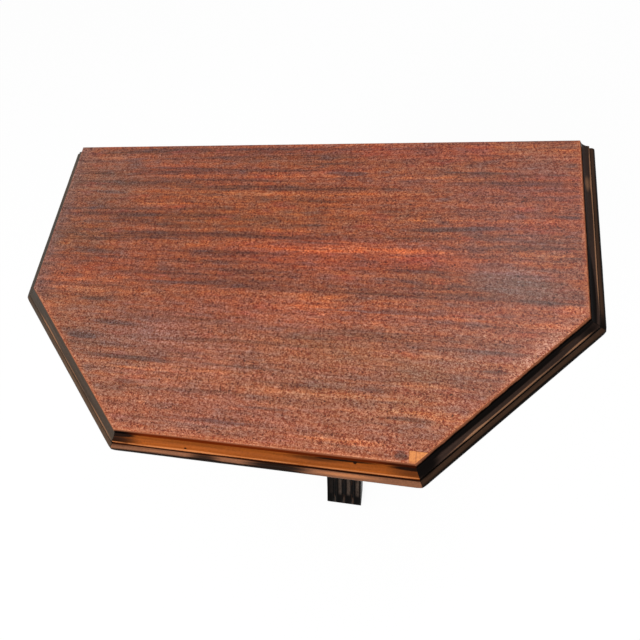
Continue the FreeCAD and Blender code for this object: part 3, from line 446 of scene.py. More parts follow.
class Wiring:
    """Adds nodes to one tree. An input takes a number, a colour, a vector or another node's output."""

    def __init__(self, tree):
        self.tree = tree

    def feed(self, socket, source):
        if isinstance(source, bpy.types.NodeSocket):
            self.tree.links.new(source, socket)
        elif socket.type == "RGBA":
            socket.default_value = (*source[:3], 1.0)
        else:
            socket.default_value = source

    def node(self, kind, inputs=None, **settings):
        made = self.tree.nodes.new("ShaderNode" + kind)
        for word, setting in settings.items():
            setattr(made, word, setting)
        for key, source in (inputs or {}).items():
            self.feed(made.inputs[key], source)
        return made

    def group(self, tree, **inputs):
        """A node for the shared group, with its inputs fed; gives its outputs."""
        made = self.node("Group")
        made.node_tree = tree
        for key, source in inputs.items():
            self.feed(made.inputs[key.replace("_", " ").title()], source)
        return made.outputs

    def figure(self, vector):
        return self.group(wood_figure(), vector=vector)

    def math(self, operation, first, second=0.0, third=0.0, clamp=False):
        inputs = {0: first, 1: second, 2: third}
        return self.node("Math", inputs, operation=operation, use_clamp=clamp).outputs[0]

    def plus(self, first, second, clamp=False):
        return self.math("ADD", first, second, clamp=clamp)

    def minus(self, first, second, clamp=False):
        return self.math("SUBTRACT", first, second, clamp=clamp)

    def unsigned(self, amount):
        return self.math("ABSOLUTE", amount)

    def times(self, first, *others):
        for other in others:
            first = self.math("MULTIPLY", first, other)
        return first

    def least(self, first, *others):
        for other in others:
            first = self.math("MINIMUM", first, other)
        return first

    def line(self, amount, slope, start):
        """The amount times the slope, plus the start."""
        return self.math("MULTIPLY_ADD", amount, slope, start)

    def weigh(self, figure, start, clamp=False, **weights):
        """The start plus each named value of the wood's figure times its weight."""
        for word, weight in weights.items():
            start = self.line(figure[word.title()], weight, start)
        start.node.use_clamp = clamp
        return start

    def smooth(self, amount, low, high, out_low=0.0, out_high=1.0):
        """A soft step from out_low to out_high while the amount goes from low to high."""
        inputs = {"Value": amount, "From Min": low, "From Max": high, "To Min": out_low, "To Max": out_high}
        return self.node("MapRange", inputs, interpolation_type="SMOOTHSTEP").outputs["Result"]

    def mix(self, factor, first, second, blend="MIX"):
        inputs = dict(zip(MIX_INPUTS, (factor, first, second)))
        return self.node("Mix", inputs, data_type="RGBA", blend_type=blend).outputs[MIX_RESULT]

    def tinted(self, colour, amount):
        """The colour times the amount."""
        if isinstance(colour, bpy.types.NodeSocket):
            return self.scale(colour, amount)
        return Vector(colour) * amount

    def shades(self, tone, colour, low, high):
        """The colour times low where the tone is 0, and times high where it is 1."""
        return self.mix(tone, self.tinted(colour, low), self.tinted(colour, high))

    def parts(self, vector):
        return self.node("SeparateXYZ", {0: vector}).outputs

    def stretch(self, vector, scale):
        return self.node("Mapping", {"Vector": vector, "Scale": scale}).outputs[0]

    def turned(self, vector, turn, centre=(0, 0, 0)):
        """The vector counted from the centre, and then turned."""
        shift = -(Euler(turn).to_matrix() @ Vector(centre))
        return self.node("Mapping", {"Vector": vector, "Location": shift, "Rotation": turn}).outputs[0]

    def vector(self, operation, first, second):
        return self.node("VectorMath", {0: first, 1: second}, operation=operation).outputs[0]

    def scale(self, vector, amount):
        return self.node("VectorMath", {0: vector, "Scale": amount}, operation="SCALE").outputs[0]

    def noise(self, vector, scale=1.0, detail=2.0, rough=0.5, twist=0.0):
        look = {"Scale": scale, "Detail": detail, "Roughness": rough, "Distortion": twist}
        return self.node("TexNoise", {"Vector": vector, **look}).outputs["Fac"]

    def signed(self, amount, strength=1.0):
        """A noise value turned into one that swings about zero."""
        return self.times(self.minus(amount, 0.5), 2.0 * strength)


class Recipe(Wiring):
    """A shader group, whose sockets are named by kind, with commas between the names."""

    def __init__(self, name, inputs, outputs):
        super().__init__(bpy.data.node_groups.new(name, "ShaderNodeTree"))
        for way, kinds in (("INPUT", inputs), ("OUTPUT", outputs)):
            for kind, words in kinds.items():
                for word in words.split(", "):
                    self.tree.interface.new_socket(word, in_out=way, socket_type="NodeSocket" + kind)
        self.entry = self.tree.nodes.new("NodeGroupInput").outputs
        self.leave = self.tree.nodes.new("NodeGroupOutput").inputs

    def give(self, **results):
        """Links the results to the outputs of the same name; gives the group."""
        for word, result in results.items():
            self.tree.links.new(result, self.leave[word.title()])
        return self.tree


def emptied_tree(holder):
    """The node tree of a new material or world, without its first nodes."""
    holder.use_nodes = True
    holder.node_tree.nodes.clear()
    return holder.node_tree


class Surface(Wiring):
    """A material with a Principled shader, and the Object coordinates of its piece as its place."""

    def __init__(self, name):
        self.material = bpy.data.materials.new(name)
        super().__init__(emptied_tree(self.material))
        self.shader = self.node("BsdfPrincipled")
        self.node("OutputMaterial", {"Surface": self.shader.outputs[0]})
        self.place = self.node("TexCoord").outputs["Object"]

    def finish(self, base, rough, height, specular=0.5, depth=0.0001, strength=0.4, metallic=0.0):
        """Feeds the shader, with the height as a bump of that depth in metres; gives the material."""
        bump = self.node("Bump", {"Height": height, "Distance": depth, "Strength": strength})
        for word, source in (
            ("Base Color", base), ("Roughness", rough), ("Metallic", metallic),
            ("Specular IOR Level", specular), ("Normal", bump.outputs[0]),
        ):
            self.feed(self.shader.inputs[word], source)
        return self.material


def once(build):
    """Builds a shared group or material the first time that something asks for it."""
    kept = []

    def ask(*values):
        if not kept:
            kept.append(build(*values))
        return kept[0]

    return ask


@once
def wood_figure():
    """Figure of a plank whose grain runs along X, as values that swing about zero, and its pores."""
    wire = Recipe(
        "Wood Figure", {"Vector": "Vector"}, {"Float": "Ribbons, Streaks, Lines, Flecks, Ripples, Pores"}
    )
    place = wire.entry["Vector"]
    sway = wire.signed(wire.noise(wire.stretch(place, (5.0, 14.0, 14.0)), detail=1.0), 0.004)
    drift = wire.node("CombineXYZ", {"Y": sway, "Z": sway}).outputs[0]
    grain = wire.vector("ADD", place, drift)

    def swing(scale, **look):
        return wire.signed(wire.noise(wire.stretch(grain, scale), **look))

    pores = wire.noise(wire.stretch(grain, (110.0, 1100.0, 1100.0)), detail=1.0)
    return wire.give(
        ribbons=swing((2.0, 30.0, 30.0)),
        streaks=swing((3.2, 120.0, 120.0), detail=3.0, rough=0.6),
        lines=swing((10.0, 420.0, 420.0)),
        flecks=swing((520.0, 590.0, 590.0), detail=1.0, twist=1.0),
        ripples=swing((240.0, 60.0, 60.0), twist=0.4),
        pores=wire.smooth(pores, 0.62, 0.74),
    )


@once
def placed_streak():
    """One streak at a chosen place, added to the streaks before it."""
    wire = Recipe(
        "Placed Streak",
        {"Vector": "Vector, Middle", "Float": "Before, Half Length, Half Width, Slope, Strength"},
        {"Float": "After"},
    )
    entry = wire.entry

    def squared(distance, half):
        return wire.math("POWER", wire.unsigned(wire.math("DIVIDE", distance, half)), 2.0)

    offset = wire.parts(wire.vector("SUBTRACT", entry["Vector"], entry["Middle"]))
    across = wire.minus(offset["Y"], wire.times(offset["X"], entry["Slope"]))
    away = wire.plus(squared(offset["X"], entry["Half Length"]), squared(across, entry["Half Width"]))
    return wire.give(after=wire.line(wire.minus(1.0, away, clamp=True), entry["Strength"], entry["Before"]))


@once
def rim_reach():
    """How far a point of the field lies inside its sides, cants and front, in metres."""
    wire = Recipe("Rim Reach", {"Vector": "Vector", "Float": "Corner Cut"}, {"Float": "Side, Cant, Front"})
    place = wire.parts(wire.entry["Vector"])
    sideways = wire.unsigned(place["X"])
    corner = wire.minus(FIELD_HIGH.x - FIELD_LOW.y, wire.entry["Corner Cut"])
    diagonal = wire.minus(sideways, place["Y"])
    return wire.give(
        side=wire.minus(FIELD_HIGH.x, sideways),
        cant=wire.math("DIVIDE", wire.minus(corner, diagonal), math.sqrt(2)),
        front=wire.minus(place["Y"], FIELD_LOW.y),
    )


@once
def plain_wood():
    """Unpolished wood of one main colour with its grain along X: darker lines, pores and grime."""
    wire = Recipe("Plain Wood", {"Vector": "Vector", "Color": "Wood"}, {"Color": "Color", "Float": "Relief"})
    place = wire.entry["Vector"]
    wood = wire.entry["Wood"]
    figure = wire.figure(place)
    tone = wire.weigh(figure, 0.5, ribbons=0.35, streaks=0.45, lines=0.30, clamp=True)
    base = wire.shades(tone, wood, 0.52, 1.22)
    base = wire.mix(wire.times(figure["Pores"], 0.5), base, wire.tinted(wood, 0.31))
    grime = wire.smooth(wire.noise(place, scale=9.0, detail=4.0), 0.45, 0.75, 0.0, 0.35)
    base = wire.mix(grime, base, wire.tinted(wood, 0.36))
    return wire.give(color=base, relief=wire.weigh(figure, figure["Lines"], pores=-1.0))


@once
def dark_stain():
    """Depth of a dark stain over the grain, and where handling has rubbed it thin."""
    wire = Recipe("Dark Stain", {"Vector": "Vector"}, {"Float": "Tone, Rubbed, Relief"})
    place = wire.entry["Vector"]
    figure = wire.figure(place)
    return wire.give(
        tone=wire.weigh(figure, 0.45, streaks=0.9, lines=0.5, clamp=True),
        rubbed=wire.smooth(wire.noise(place, scale=22.0, detail=4.0), 0.55, 0.80),
        relief=wire.weigh(figure, figure["Lines"], pores=-1.0),
    )


@once
def leg_flutes():
    """Where a leg along X is lighter in its flutes, as dust and painted light, and has painted highlights on
    its worn ridges at the toe.
    """
    wire = Recipe("Leg Flutes", {"Vector": "Vector", "Float": "Tone"}, {"Float": "Dust, Ticks"})
    place = wire.parts(wire.entry["Vector"])
    turns = wire.math("COSINE", wire.times(place["Y"], math.tau / FLUTE_PITCH))
    # Lighter in the flutes' hollows, partly dust and partly painted light, ending before the toe.
    hollow = wire.smooth(turns, -0.9, 0.1, 1.0, 0.0)
    inner = wire.smooth(place["Y"], *FLUTE_DUST_AND_LIGHT_ACROSS, 0.12, 1.0)
    before_toe = wire.smooth(place["X"], *FLUTE_DUST_AND_LIGHT_END, 1.0, 0.0)
    dust = wire.times(hollow, inner, before_toe, wire.plus(wire.entry["Tone"], 0.3, clamp=True))
    # Painted highlights on the worn ridges at the toe.
    inside = wire.smooth(wire.unsigned(place["Y"]), *WORN_RIDGE_HIGHLIGHTS_ACROSS, 0.7, 0.0)
    ticks = wire.times(wire.smooth(turns, 0.90, 0.985), wire.smooth(place["X"], *WORN_RIDGE_HIGHLIGHTS_START), inside)
    return wire.give(dust=dust, ticks=ticks)


@once
def moulding_stain_and_shade(sizes):
    """Stain of a moulding along X, with painted shade at the cove's top and in dark marks: thin or dark in
    its marks, worn on its arris and bead.
    """
    wire = Recipe(
        "Moulding Stain",
        {"Vector": "Vector", "Color": "Cove, Bead, Worn Wood, Stain, Groove",
         "Float": "Dark Marks, Worn Marks, Arris Wear, Arris Gaps, Half Length"},
        {"Color": "Color", "Float": "Worn, Relief"},
    )
    entry = wire.entry
    figure = wire.figure(entry["Vector"])
    place = wire.parts(entry["Vector"])
    across = place["Y"]
    tone = wire.weigh(figure, 0.5, streaks=0.8, lines=0.5, flecks=0.35, clamp=True)
    # Painted shade: the cove darker at its top, under the field, and lighter outwards.
    shaded = wire.smooth(across, 0.0, sizes.cove_width * 0.6, 0.7, 1.05)
    cove = wire.scale(wire.shades(tone, entry["Cove"], 0.62, 1.38), shaded)
    outside = wire.smooth(across, sizes.cove_width + 0.0008, sizes.cove_width + 0.0012)
    base = wire.mix(outside, cove, wire.shades(tone, entry["Bead"], 0.6, 1.4))
    fray = wire.times(figure["Streaks"], 0.35)
    dark = wire.smooth(wire.plus(entry["Dark Marks"], fray), 0.05, 1.0, 0.0, 0.96)
    base = wire.mix(dark, base, entry["Stain"])
    worn = wire.smooth(wire.line(fray, 1.4, entry["Worn Marks"]), 0.1, 1.1, 0.0, 0.95)
    wood = wire.shades(tone, entry["Worn Wood"], 0.7, 1.2)
    wood = wire.mix(wire.times(outside, 0.45), wood, wire.tinted(entry["Bead"], 1.8))
    base = wire.mix(worn, base, wood)
    outwards = wire.minus(across, sizes.cove_width)
    upwards = wire.minus(place["Z"], TOP_Z - sizes.bevel_drop - sizes.cove_drop)
    from_arris = wire.math("SQRT", wire.line(outwards, outwards, wire.times(upwards, upwards)))
    patchy = wire.noise(wire.stretch(entry["Vector"], (34.0, 160.0, 160.0)), detail=4.0, rough=0.6)
    kept = wire.smooth(wire.line(entry["Arris Gaps"], -0.35, patchy), 0.18, 0.42)
    # The band along the arris: partly wear and partly painted highlight.
    arris = wire.smooth(from_arris, ARRIS_WEAR_AND_HIGHLIGHT_REACH * 0.4, ARRIS_WEAR_AND_HIGHLIGHT_REACH, 1.0, 0.0)
    base = wire.mix(wire.times(arris, kept, entry["Arris Wear"]), base, wood)
    from_groove = wire.unsigned(wire.minus(across, sizes.cove_width + sizes.step_run + GROOVE_OFFSET))
    base = wire.mix(wire.smooth(from_groove, 0.0004, 0.0008, 1.0, 0.0), base, entry["Groove"])
    to_joint = wire.minus(entry["Half Length"], wire.unsigned(place["X"]))
    to_joint = wire.line(across, MITRE, to_joint)
    base = wire.mix(wire.smooth(to_joint, 0.0001, 0.0005, 0.85, 0.0), base, entry["Stain"])
    return wire.give(color=base, worn=worn, relief=wire.weigh(figure, figure["Lines"], pores=-1.0))


# Materials


def about_z(degrees):
    """The turn that brings a direction at that angle from +X back to +X."""
    return 0, 0, -math.radians(degrees)


def chain_streaks(wire, place, streaks):
    """The sum of the placed streaks of one list."""
    total = 0.0
    for start, end, first_y, last_y, width, strength in streaks:
        total = wire.group(
            placed_streak(),
            before=total,
            vector=place,
            middle=Vector((start + end, first_y + last_y, 0)) * MILLIMETRE / 2,
            half_length=(end - start) * MILLIMETRE / 2,
            half_width=width * MILLIMETRE / 2,
            slope=(last_y - first_y) / (end - start),
            strength=strength,
        )[0]
    return total


def chain_marks(wire, local, marks):
    """The sum of the marks of one list on a length of moulding."""
    return chain_streaks(wire, local, [
        (start, end, across, across, width, strength) for start, end, across, width, strength in marks
    ])


def field_rim(wire, sizes):
    """How far each point lies inside the field's sides, cants and front."""
    reach = wire.group(rim_reach(), vector=wire.place, corner_cut=sizes.corner_cut)
    return reach["Side"], reach["Cant"], reach["Front"]


@once
def bevel_material(sizes, colours):
    """Bevel round the field: lighter along the front as painted light, with painted shade, dark elsewhere,
    and rubbed at its top with a painted highlight.
    """
    wire = Surface("bevel_stain")
    figure = wire.figure(wire.place)
    apart = wire.parts(wire.place)
    side, cant, front = field_rim(wire, sizes)
    along_front = wire.smooth(wire.minus(wire.least(side, cant), front), -0.0004, 0.0006)
    # Painted shade under the field's edge: a painted shadow at the front left, darker at the right corner
    # and towards the right of the front.
    pit_shadow = wire.smooth(apart["X"], *FRONT_PIT_SHADOW, 1.0, 0.0)
    corner = wire.smooth(apart["X"], *FRONT_CORNER_SHADE, 0.0, 0.6)
    thin = wire.shades(wire.plus(figure["Streaks"], 0.5, clamp=True), colours.bevel_front_lit, 0.45, 1.3)
    thin = wire.mix(wire.smooth(apart["X"], *FRONT_BEVEL_SHADE, 0.0, 0.5), thin, colours.stain)
    thin = wire.mix(wire.math("MAXIMUM", pit_shadow, corner), thin, colours.stain)
    # Grey at the bevel's left end, partly dust and partly painted reflection; the left takes the shaded left
    # colour and the right the stain.
    left = wire.mix(wire.smooth(apart["X"], *BEVEL_DUST_AND_REFLECTION), colours.dust, colours.left_cove_shaded)
    sides = wire.mix(wire.smooth(apart["X"], -0.01, 0.01), left, colours.stain)
    base = wire.mix(along_front, sides, thin)
    # Its top rubbed: partly wear and partly painted highlight.
    lifted = wire.line(along_front, -0.0009, apart["Z"])
    rubbed = wire.weigh(figure, lifted, streaks=0.0015)
    rubbed = wire.smooth(rubbed, *RUBBED_HIGHLIGHT_HEIGHTS, 0.0, 0.85)
    base = wire.mix(rubbed, base, colours.bevel_worn_highlight)
    return wire.finish(base, 0.6, figure["Lines"], specular=0.005)


def lipping_material(colours):
    """Dark stained strip along the back, rubbed in places."""
    wire = Surface("lipping_wood")
    figure = wire.figure(wire.place)
    tone = wire.weigh(figure, 0.5, streaks=0.8, clamp=True)
    # Its colours come from the right mouldings' painted-shade copies of the stain.
    base = wire.mix(tone, wire.tinted(colours.right_cove_shaded, 0.5), wire.tinted(colours.right_bead_shaded, 1.6))
    rubbed = wire.smooth(wire.noise(wire.place, scale=30.0, detail=4.0), 0.55, 0.78, 0.0, 0.4)
    base = wire.mix(rubbed, base, wire.tinted(colours.worn_wood, 0.4))
    return wire.finish(base, 0.45, figure["Lines"], specular=0.16)


def face_veneer_material(sizes, colours):
    """Satin-polished figured veneer: streaks at chosen places, flecks, clouds of painted reflection, painted
    sheen, and a worn arris with painted highlights.
    """
    wire = Surface("face_veneer")
    flat = wire.stretch(wire.place, (1.0, 1.0, 0.0))
    figure = wire.figure(flat)
    fray = wire.weigh(figure, 0.0, streaks=0.5, flecks=0.3)
    wander = wire.node("CombineXYZ", {"Y": wire.times(figure["Streaks"], 0.005)}).outputs[0]
    strayed = wire.vector("ADD", flat, wander)
    dark, bright, reflection_cloud = (
        wire.smooth(wire.plus(chain_streaks(wire, strayed, streaks), fray), low, high)
        for streaks, low, high in ((DARK_STREAKS, 0.1, 1.2), (BRIGHT_STREAKS, 0.1, 1.2), (REFLECTION_CLOUDS, 0.0, 1.1))
    )
    tone = wire.weigh(figure, 0.43, ribbons=0.75, streaks=1.0)
    tone = wire.line(dark, -0.35, wire.line(bright, 0.45, tone))
    low = wire.mix(wire.smooth(tone, 0.0, 0.45), colours.face_dark, colours.face_mid)
    base = wire.mix(wire.smooth(tone, 0.45, 1.05), low, colours.face_bright)
    blotch = wire.noise(wire.stretch(flat, (16.0, 75.0, 1.0)), detail=3.0, rough=0.6)
    base = wire.mix(wire.smooth(blotch, 0.50, 0.70, 0.0, 0.5), base, colours.face_plum)
    base = wire.mix(wire.smooth(blotch, 0.30, 0.45, 0.45, 0.0), base, colours.face_red)
    hue = wire.noise(wire.stretch(flat, (50.0, 170.0, 1.0)), detail=3.0, rough=0.6)
    tint = wire.mix(wire.smooth(hue, 0.34, 0.66), *FINE_TINTS)
    base = wire.mix(1.0, base, tint, blend="MULTIPLY")
    base = wire.mix(wire.times(dark, 0.68), base, colours.face_plum)
    # Painted reflections: greyish clouds on the polish.
    base = wire.mix(wire.times(reflection_cloud, 0.66), base, colours.face_reflection)
    zones = wire.stretch(flat, (4.0, 24.0, 1.0))
    further = wire.vector("ADD", zones, (3.0, 5.0, 0.0))
    for streaks, place, tints in ((RED_ZONES, zones, RED_TINTS), (AMBER_ZONES, further, AMBER_TINTS)):
        zone = wire.plus(chain_streaks(wire, strayed, streaks), wire.signed(wire.noise(place), 0.9))
        tint = wire.mix(wire.smooth(zone, -1.2, 1.2), *tints)
        base = wire.mix(1.0, base, tint, blend="MULTIPLY")
    apart = wire.parts(strayed)
    # Painted sheen, paler towards the front.
    front_sheen = wire.smooth(apart["Y"], *SHEEN_DEPTH, 0.21, 0.0)
    base = wire.mix(wire.times(front_sheen, wire.line(dark, -0.8, 1.0)), base, colours.face_sheen)
    side, cant, front = field_rim(wire, sizes)
    nearest = wire.least(side, cant, wire.times(front, 0.8))
    # Painted highlight: brighter within a few millimetres of the field's rim.
    glow = wire.smooth(wire.weigh(figure, nearest, streaks=0.004), 0.001, 0.006, 0.5, 0.0)
    base = wire.mix(glow, base, colours.face_bright)
    # Painted reflection at the field's left end.
    left = wire.smooth(wire.weigh(figure, apart["X"], flecks=0.02), *LEFT_REFLECTION, 1.0, 0.0)
    base = wire.mix(wire.times(left, 0.6), base, colours.face_reflection)
    swing = wire.weigh(figure, 0.0, ripples=0.38, lines=0.56, pores=-0.25)
    shade = wire.vector("ADD", wire.scale(LINE_COLOUR, swing), (1.0, 1.0, 1.0))
    shade = wire.vector("ADD", wire.scale(FLECK_COLOUR, figure["Flecks"]), shade)
    # Painted sheen near the right cant.
    sheen_spot = wire.times(
        wire.smooth(cant, 0.003, 0.020, 0.45, 0.0),
        wire.smooth(apart["X"], *SHEEN_SPOT_START),
        wire.smooth(apart["X"], *SHEEN_SPOT_END, 1.0, 0.2),
    )
    base = wire.mix(sheen_spot, base, colours.face_sheen)
    # The worn arris, with a painted highlight, weaker at the left.
    to_rim = wire.least(side, cant, wire.times(front, 0.5))
    edge = wire.smooth(wire.weigh(figure, to_rim, flecks=0.003), 0.0004, 0.0016, 0.8, 0.0)
    base = wire.mix(wire.times(edge, wire.line(left, -0.7, 1.0)), base, colours.face_worn_arris_highlight)
    base = wire.vector("MULTIPLY", base, wire.vector("MAXIMUM", shade, DARKEST_SHADE))
    rough = wire.weigh(figure, 0.40, streaks=0.08)
    relief = wire.weigh(figure, figure["Lines"], pores=-1.0)
    return wire.finish(base, rough, relief, specular=0.25, depth=0.00006, strength=0.35)


def patch_material(sizes, colours):
    """Lighter veneer of the corner patch, with its grain running the same way."""
    wire = Surface("patch_veneer")
    figure = wire.figure(wire.stretch(wire.place, (1.0, 1.0, 0.0)))
    tone = wire.weigh(figure, 0.30, flecks=0.9, ripples=0.5)
    base = wire.mix(wire.smooth(tone, 0.1, 1.1), colours.patch_wood, wire.tinted(colours.face_bright, 0.9))
    seam = wire.unsigned(wire.minus(wire.parts(wire.place)["X"], PATCH_LOW.x + PATCH_SEAM))
    base = wire.mix(wire.smooth(seam, 0.0002, 0.0008, 0.45, 0.0), base, colours.face_mid)
    # Painted highlight along the patch's front edge.
    front = field_rim(wire, sizes)[2]
    base = wire.mix(wire.smooth(front, 0.0005, 0.0045, 0.55, 0.0), base, colours.face_bright)
    return wire.finish(base, 0.42, figure["Lines"], specular=0.25, depth=0.00006, strength=0.35)


def plain_wood_material(name, wood, turn=(0, 0, 0)):
    """Unpolished wood with its grain along the turned X axis."""
    wire = Surface(name)
    finish = wire.group(plain_wood(), vector=wire.turned(wire.place, turn), wood=wood)
    return wire.finish(finish["Color"], 0.68, finish["Relief"], specular=0.2, depth=0.00012, strength=0.5)


def moulding_material(name, sizes, colours):
    """Stained moulding, painted lit on the front and shaded at the sides: worn along its arris and bead,
    with a painted highlight on the arris, and darker in its groove.
    """
    wire = Surface(name + "_wood")
    middle, half = moulding_line(name)
    local = wire.turned(wire.place, about_z(MOULDING_TURNS[name]), middle.to_3d())
    front = name == "moulding_front"
    # Each side takes its own copy of the stain: painted light on the front, painted shade at the left and
    # right.
    if front:
        cove, bead, worn_wood = colours.front_cove_lit, colours.front_bead_lit, colours.worn_wood
    elif "left" in name:
        cove, bead, worn_wood = colours.left_cove_shaded, colours.left_bead_shaded, colours.side_worn
    else:
        cove, bead, worn_wood = colours.right_cove_shaded, colours.right_bead_shaded, colours.side_worn
    groove = colours.groove if front else colours.stain
    finish = wire.group(
        moulding_stain_and_shade(sizes), vector=local, half_length=half,
        cove=cove, bead=bead, worn_wood=worn_wood, stain=colours.stain, groove=groove,
        dark_marks=chain_marks(wire, local, DARK_AND_SHADE_MARKS[name]),
        worn_marks=chain_marks(wire, local, WORN_MARKS[name]),
        arris_wear=0.75 if front else 0.4, arris_gaps=0.3 if front else 1.0,
    )
    base = finish["Color"]
    # Grey at the left: partly dust and partly painted reflection.
    if "left" in name:
        patchy = wire.smooth(wire.noise(wire.stretch(local, (14.0, 60.0, 60.0)), detail=4.0), 0.30, 0.62)
        dusty_reflection = wire.smooth(wire.parts(wire.place)["X"], *MOULDING_DUST_AND_REFLECTION, 0.85, 0.0)
        base = wire.mix(wire.times(dusty_reflection, patchy), base, colours.dust)
    return wire.finish(base, wire.line(finish["Worn"], 0.12, 0.40), finish["Relief"], specular=0.025)


def base_wood_material(name, colours, turn, fluted=False):
    """Near-black stained, polished wood of the base, partly painted shade, rubbed thin in places; a leg's
    flutes are lighter, as dust and painted light.
    """
    wire = Surface(name)
    local = wire.turned(wire.place, turn, COLUMN_AXIS)
    finish = wire.group(dark_stain(), vector=local)
    base = wire.shades(finish["Tone"], colours.base_stain_and_shade, 0.4, 1.9)
    base = wire.mix(wire.times(finish["Rubbed"], 0.12), base, wire.tinted(colours.worn_wood, 0.25))
    if fluted:
        flutes = wire.group(leg_flutes(), vector=local, tone=finish["Tone"])
        # Lighter flutes, as dust and painted light, and painted highlights on the worn ridges at the toe.
        base = wire.mix(flutes["Dust"], base, colours.flute_dust_and_light)
        base = wire.mix(flutes["Ticks"], base, wire.tinted(colours.flute_dust_and_light, 0.9))
    rough = wire.line(finish["Rubbed"], 0.16, 0.36)
    return wire.finish(base, rough, finish["Relief"], specular=0.05, strength=0.35)


@once
def worn_arris_material(colours):
    """Arris of a stained piece, where handling has taken the stain off in patches."""
    wire = Surface("worn_arris")
    patchy = wire.noise(wire.place, scale=70.0, detail=4.0)
    worn = wire.smooth(patchy, 0.46, 0.74)
    base = wire.mix(wire.times(worn, 0.35), colours.base_stain_and_shade, wire.tinted(colours.worn_wood, 0.3))
    return wire.finish(base, wire.line(worn, 0.2, 0.3), patchy, specular=0.15, strength=0.3)


@once
def steel_material(colours):
    """Dull steel with fine scratches and spots of tarnish."""
    wire = Surface("steel")
    spots = wire.smooth(wire.noise(wire.place, scale=160.0, detail=5.0, rough=0.65), 0.52, 0.68)
    scratches = wire.noise(wire.stretch(wire.place, (900.0, 60.0, 900.0)))
    bright = wire.shades(scratches, colours.steel, 0.75, 1.2)
    base = wire.mix(wire.times(spots, 0.75), bright, colours.tarnish)
    return wire.finish(
        base, wire.line(spots, 0.30, 0.38), wire.plus(scratches, spots),
        depth=0.00005, metallic=wire.line(spots, -0.8, 1.0),
    )


# Meshes


def in_scene(name, data):
    """A new object for the data, linked to the scene."""
    made = bpy.data.objects.new(name, data)
    bpy.context.scene.collection.objects.link(made)
    return made


def mesh_from(bm, name, materials):
    """A mesh made from the bmesh, which is freed."""
    mesh = bpy.data.meshes.new(name)
    bm.to_mesh(mesh)
    bm.free()
    for material in materials:
        mesh.materials.append(material)
    return mesh


def finish_piece(bm, name, nodes, materials):
    """Turns a bmesh into a finished piece that rides on the table and stands for CAD nodes."""
    mesh = mesh_from(bm, name, materials)
    mesh.shade_smooth()
    mesh.set_sharp_from_angle(angle=SHARP_ANGLE)
    piece = in_scene(name, mesh)
    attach(piece, "root")
    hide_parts(*nodes)
    steady = piece.modifiers.new("Weighted normals", "WEIGHTED_NORMAL")
    steady.keep_sharp = True


def paint_node(name, material):
    """Gives a CAD node that stays in view its material."""
    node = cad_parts[name]
    node.data.materials.clear()
    node.data.materials.append(material)


def picked(items, kind):
    """Those of the mesh's elements that are of one kind."""
    return [item for item in items if isinstance(item, kind)]


def round_edges(bm, edges, ease, segments=3, clamp=True):
    """Rounds the edges; gives the new faces."""
    return bmesh.ops.bevel(
        bm, geom=edges, offset=ease, offset_type="OFFSET", segments=segments, profile=0.5,
        affect="EDGES", clamp_overlap=clamp, material=-1,
    )["faces"]


def mark_slopes(bm, top):
    """Gives the sloping faces below a height material 1."""
    for face in bm.faces:
        if LEAST_SLOPE < face.normal.z < MOST_SLOPE and face.calc_center_median().z < top:
            face.material_index = 1


def copied_node(name, ease):
    """A merged copy of a CAD node's mesh with its sharp arrises eased; eased faces take material 1."""
    bm = bmesh.new()
    bm.from_mesh(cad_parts[name].data)
    for face in bm.faces:
        face.material_index = 0
    bmesh.ops.remove_doubles(bm, verts=bm.verts, dist=MERGE_DISTANCE)
    bmesh.ops.dissolve_limit(bm, angle_limit=FLAT_ANGLE, verts=bm.verts, edges=bm.edges)
    if ease:
        keen = [edge for edge in bm.edges if edge.is_manifold and edge.calc_face_angle() > KEEN_ANGLE]
        for face in round_edges(bm, keen, ease, segments=2, clamp=False):
            face.material_index = 1
    return bm


def eased_copy(node, name, ease, materials):
    finish_piece(copied_node(node, ease), name, [node], materials)


def slab(corners, foot_corners, top, thickness):
    """A bmesh slab whose sides slope from the corners at the top to the foot corners below."""
    bm = bmesh.new()
    crown = bm.faces.new([bm.verts.new((*corner, top)) for corner in corners])
    bmesh.ops.recalc_face_normals(bm, faces=[crown])
    sides = bmesh.ops.extrude_face_region(bm, geom=[crown])
    lower = picked(sides["geom"], bmesh.types.BMVert)
    bmesh.ops.translate(bm, vec=(0, 0, -thickness), verts=lower)
    for corner, foot in zip(corners, foot_corners):
        under = min(lower, key=lambda vert: (vert.co.xy - Vector(corner)).length)
        under.co.xy = foot
    bmesh.ops.recalc_face_normals(bm, faces=bm.faces)
    return bm


def ease_rim(bm, height, ease):
    """Rounds the arris round a slab's top face."""
    rim = [edge for edge in bm.edges if all(abs(vert.co.z - height) < SAME_PLACE for vert in edge.verts)]
    round_edges(bm, rim, ease)


def field_corners(sizes, outset):
    """Corners of the field and of the patch let into it, set out from the foot of the field's own bevel."""
    cant_share = math.sqrt(2) - 1
    side = FIELD_HIGH.x + outset
    front = FIELD_LOW.y - outset
    shoulder = FIELD_LOW.y + sizes.corner_cut - outset * cant_share
    front_end = FIELD_HIGH.x - sizes.corner_cut + outset * cant_share
    patch_left = PATCH_LOW.x
    patch_back = PATCH_HIGH.y
    patch_right = side - shoulder + patch_back
    field = [
        (-side, FIELD_HIGH.y),
        (-side, shoulder),
        (-front_end, front),
        (patch_left, front),
        (patch_left, patch_back),
        (patch_right, patch_back),
        (side, shoulder),
        (side, FIELD_HIGH.y),
    ]
    patch = [(patch_left, front), (front_end, front), (patch_right, patch_back), (patch_left, patch_back)]
    return field, patch


def moulding_width():
    low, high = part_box("moulding_front")
    return high.y - low.y


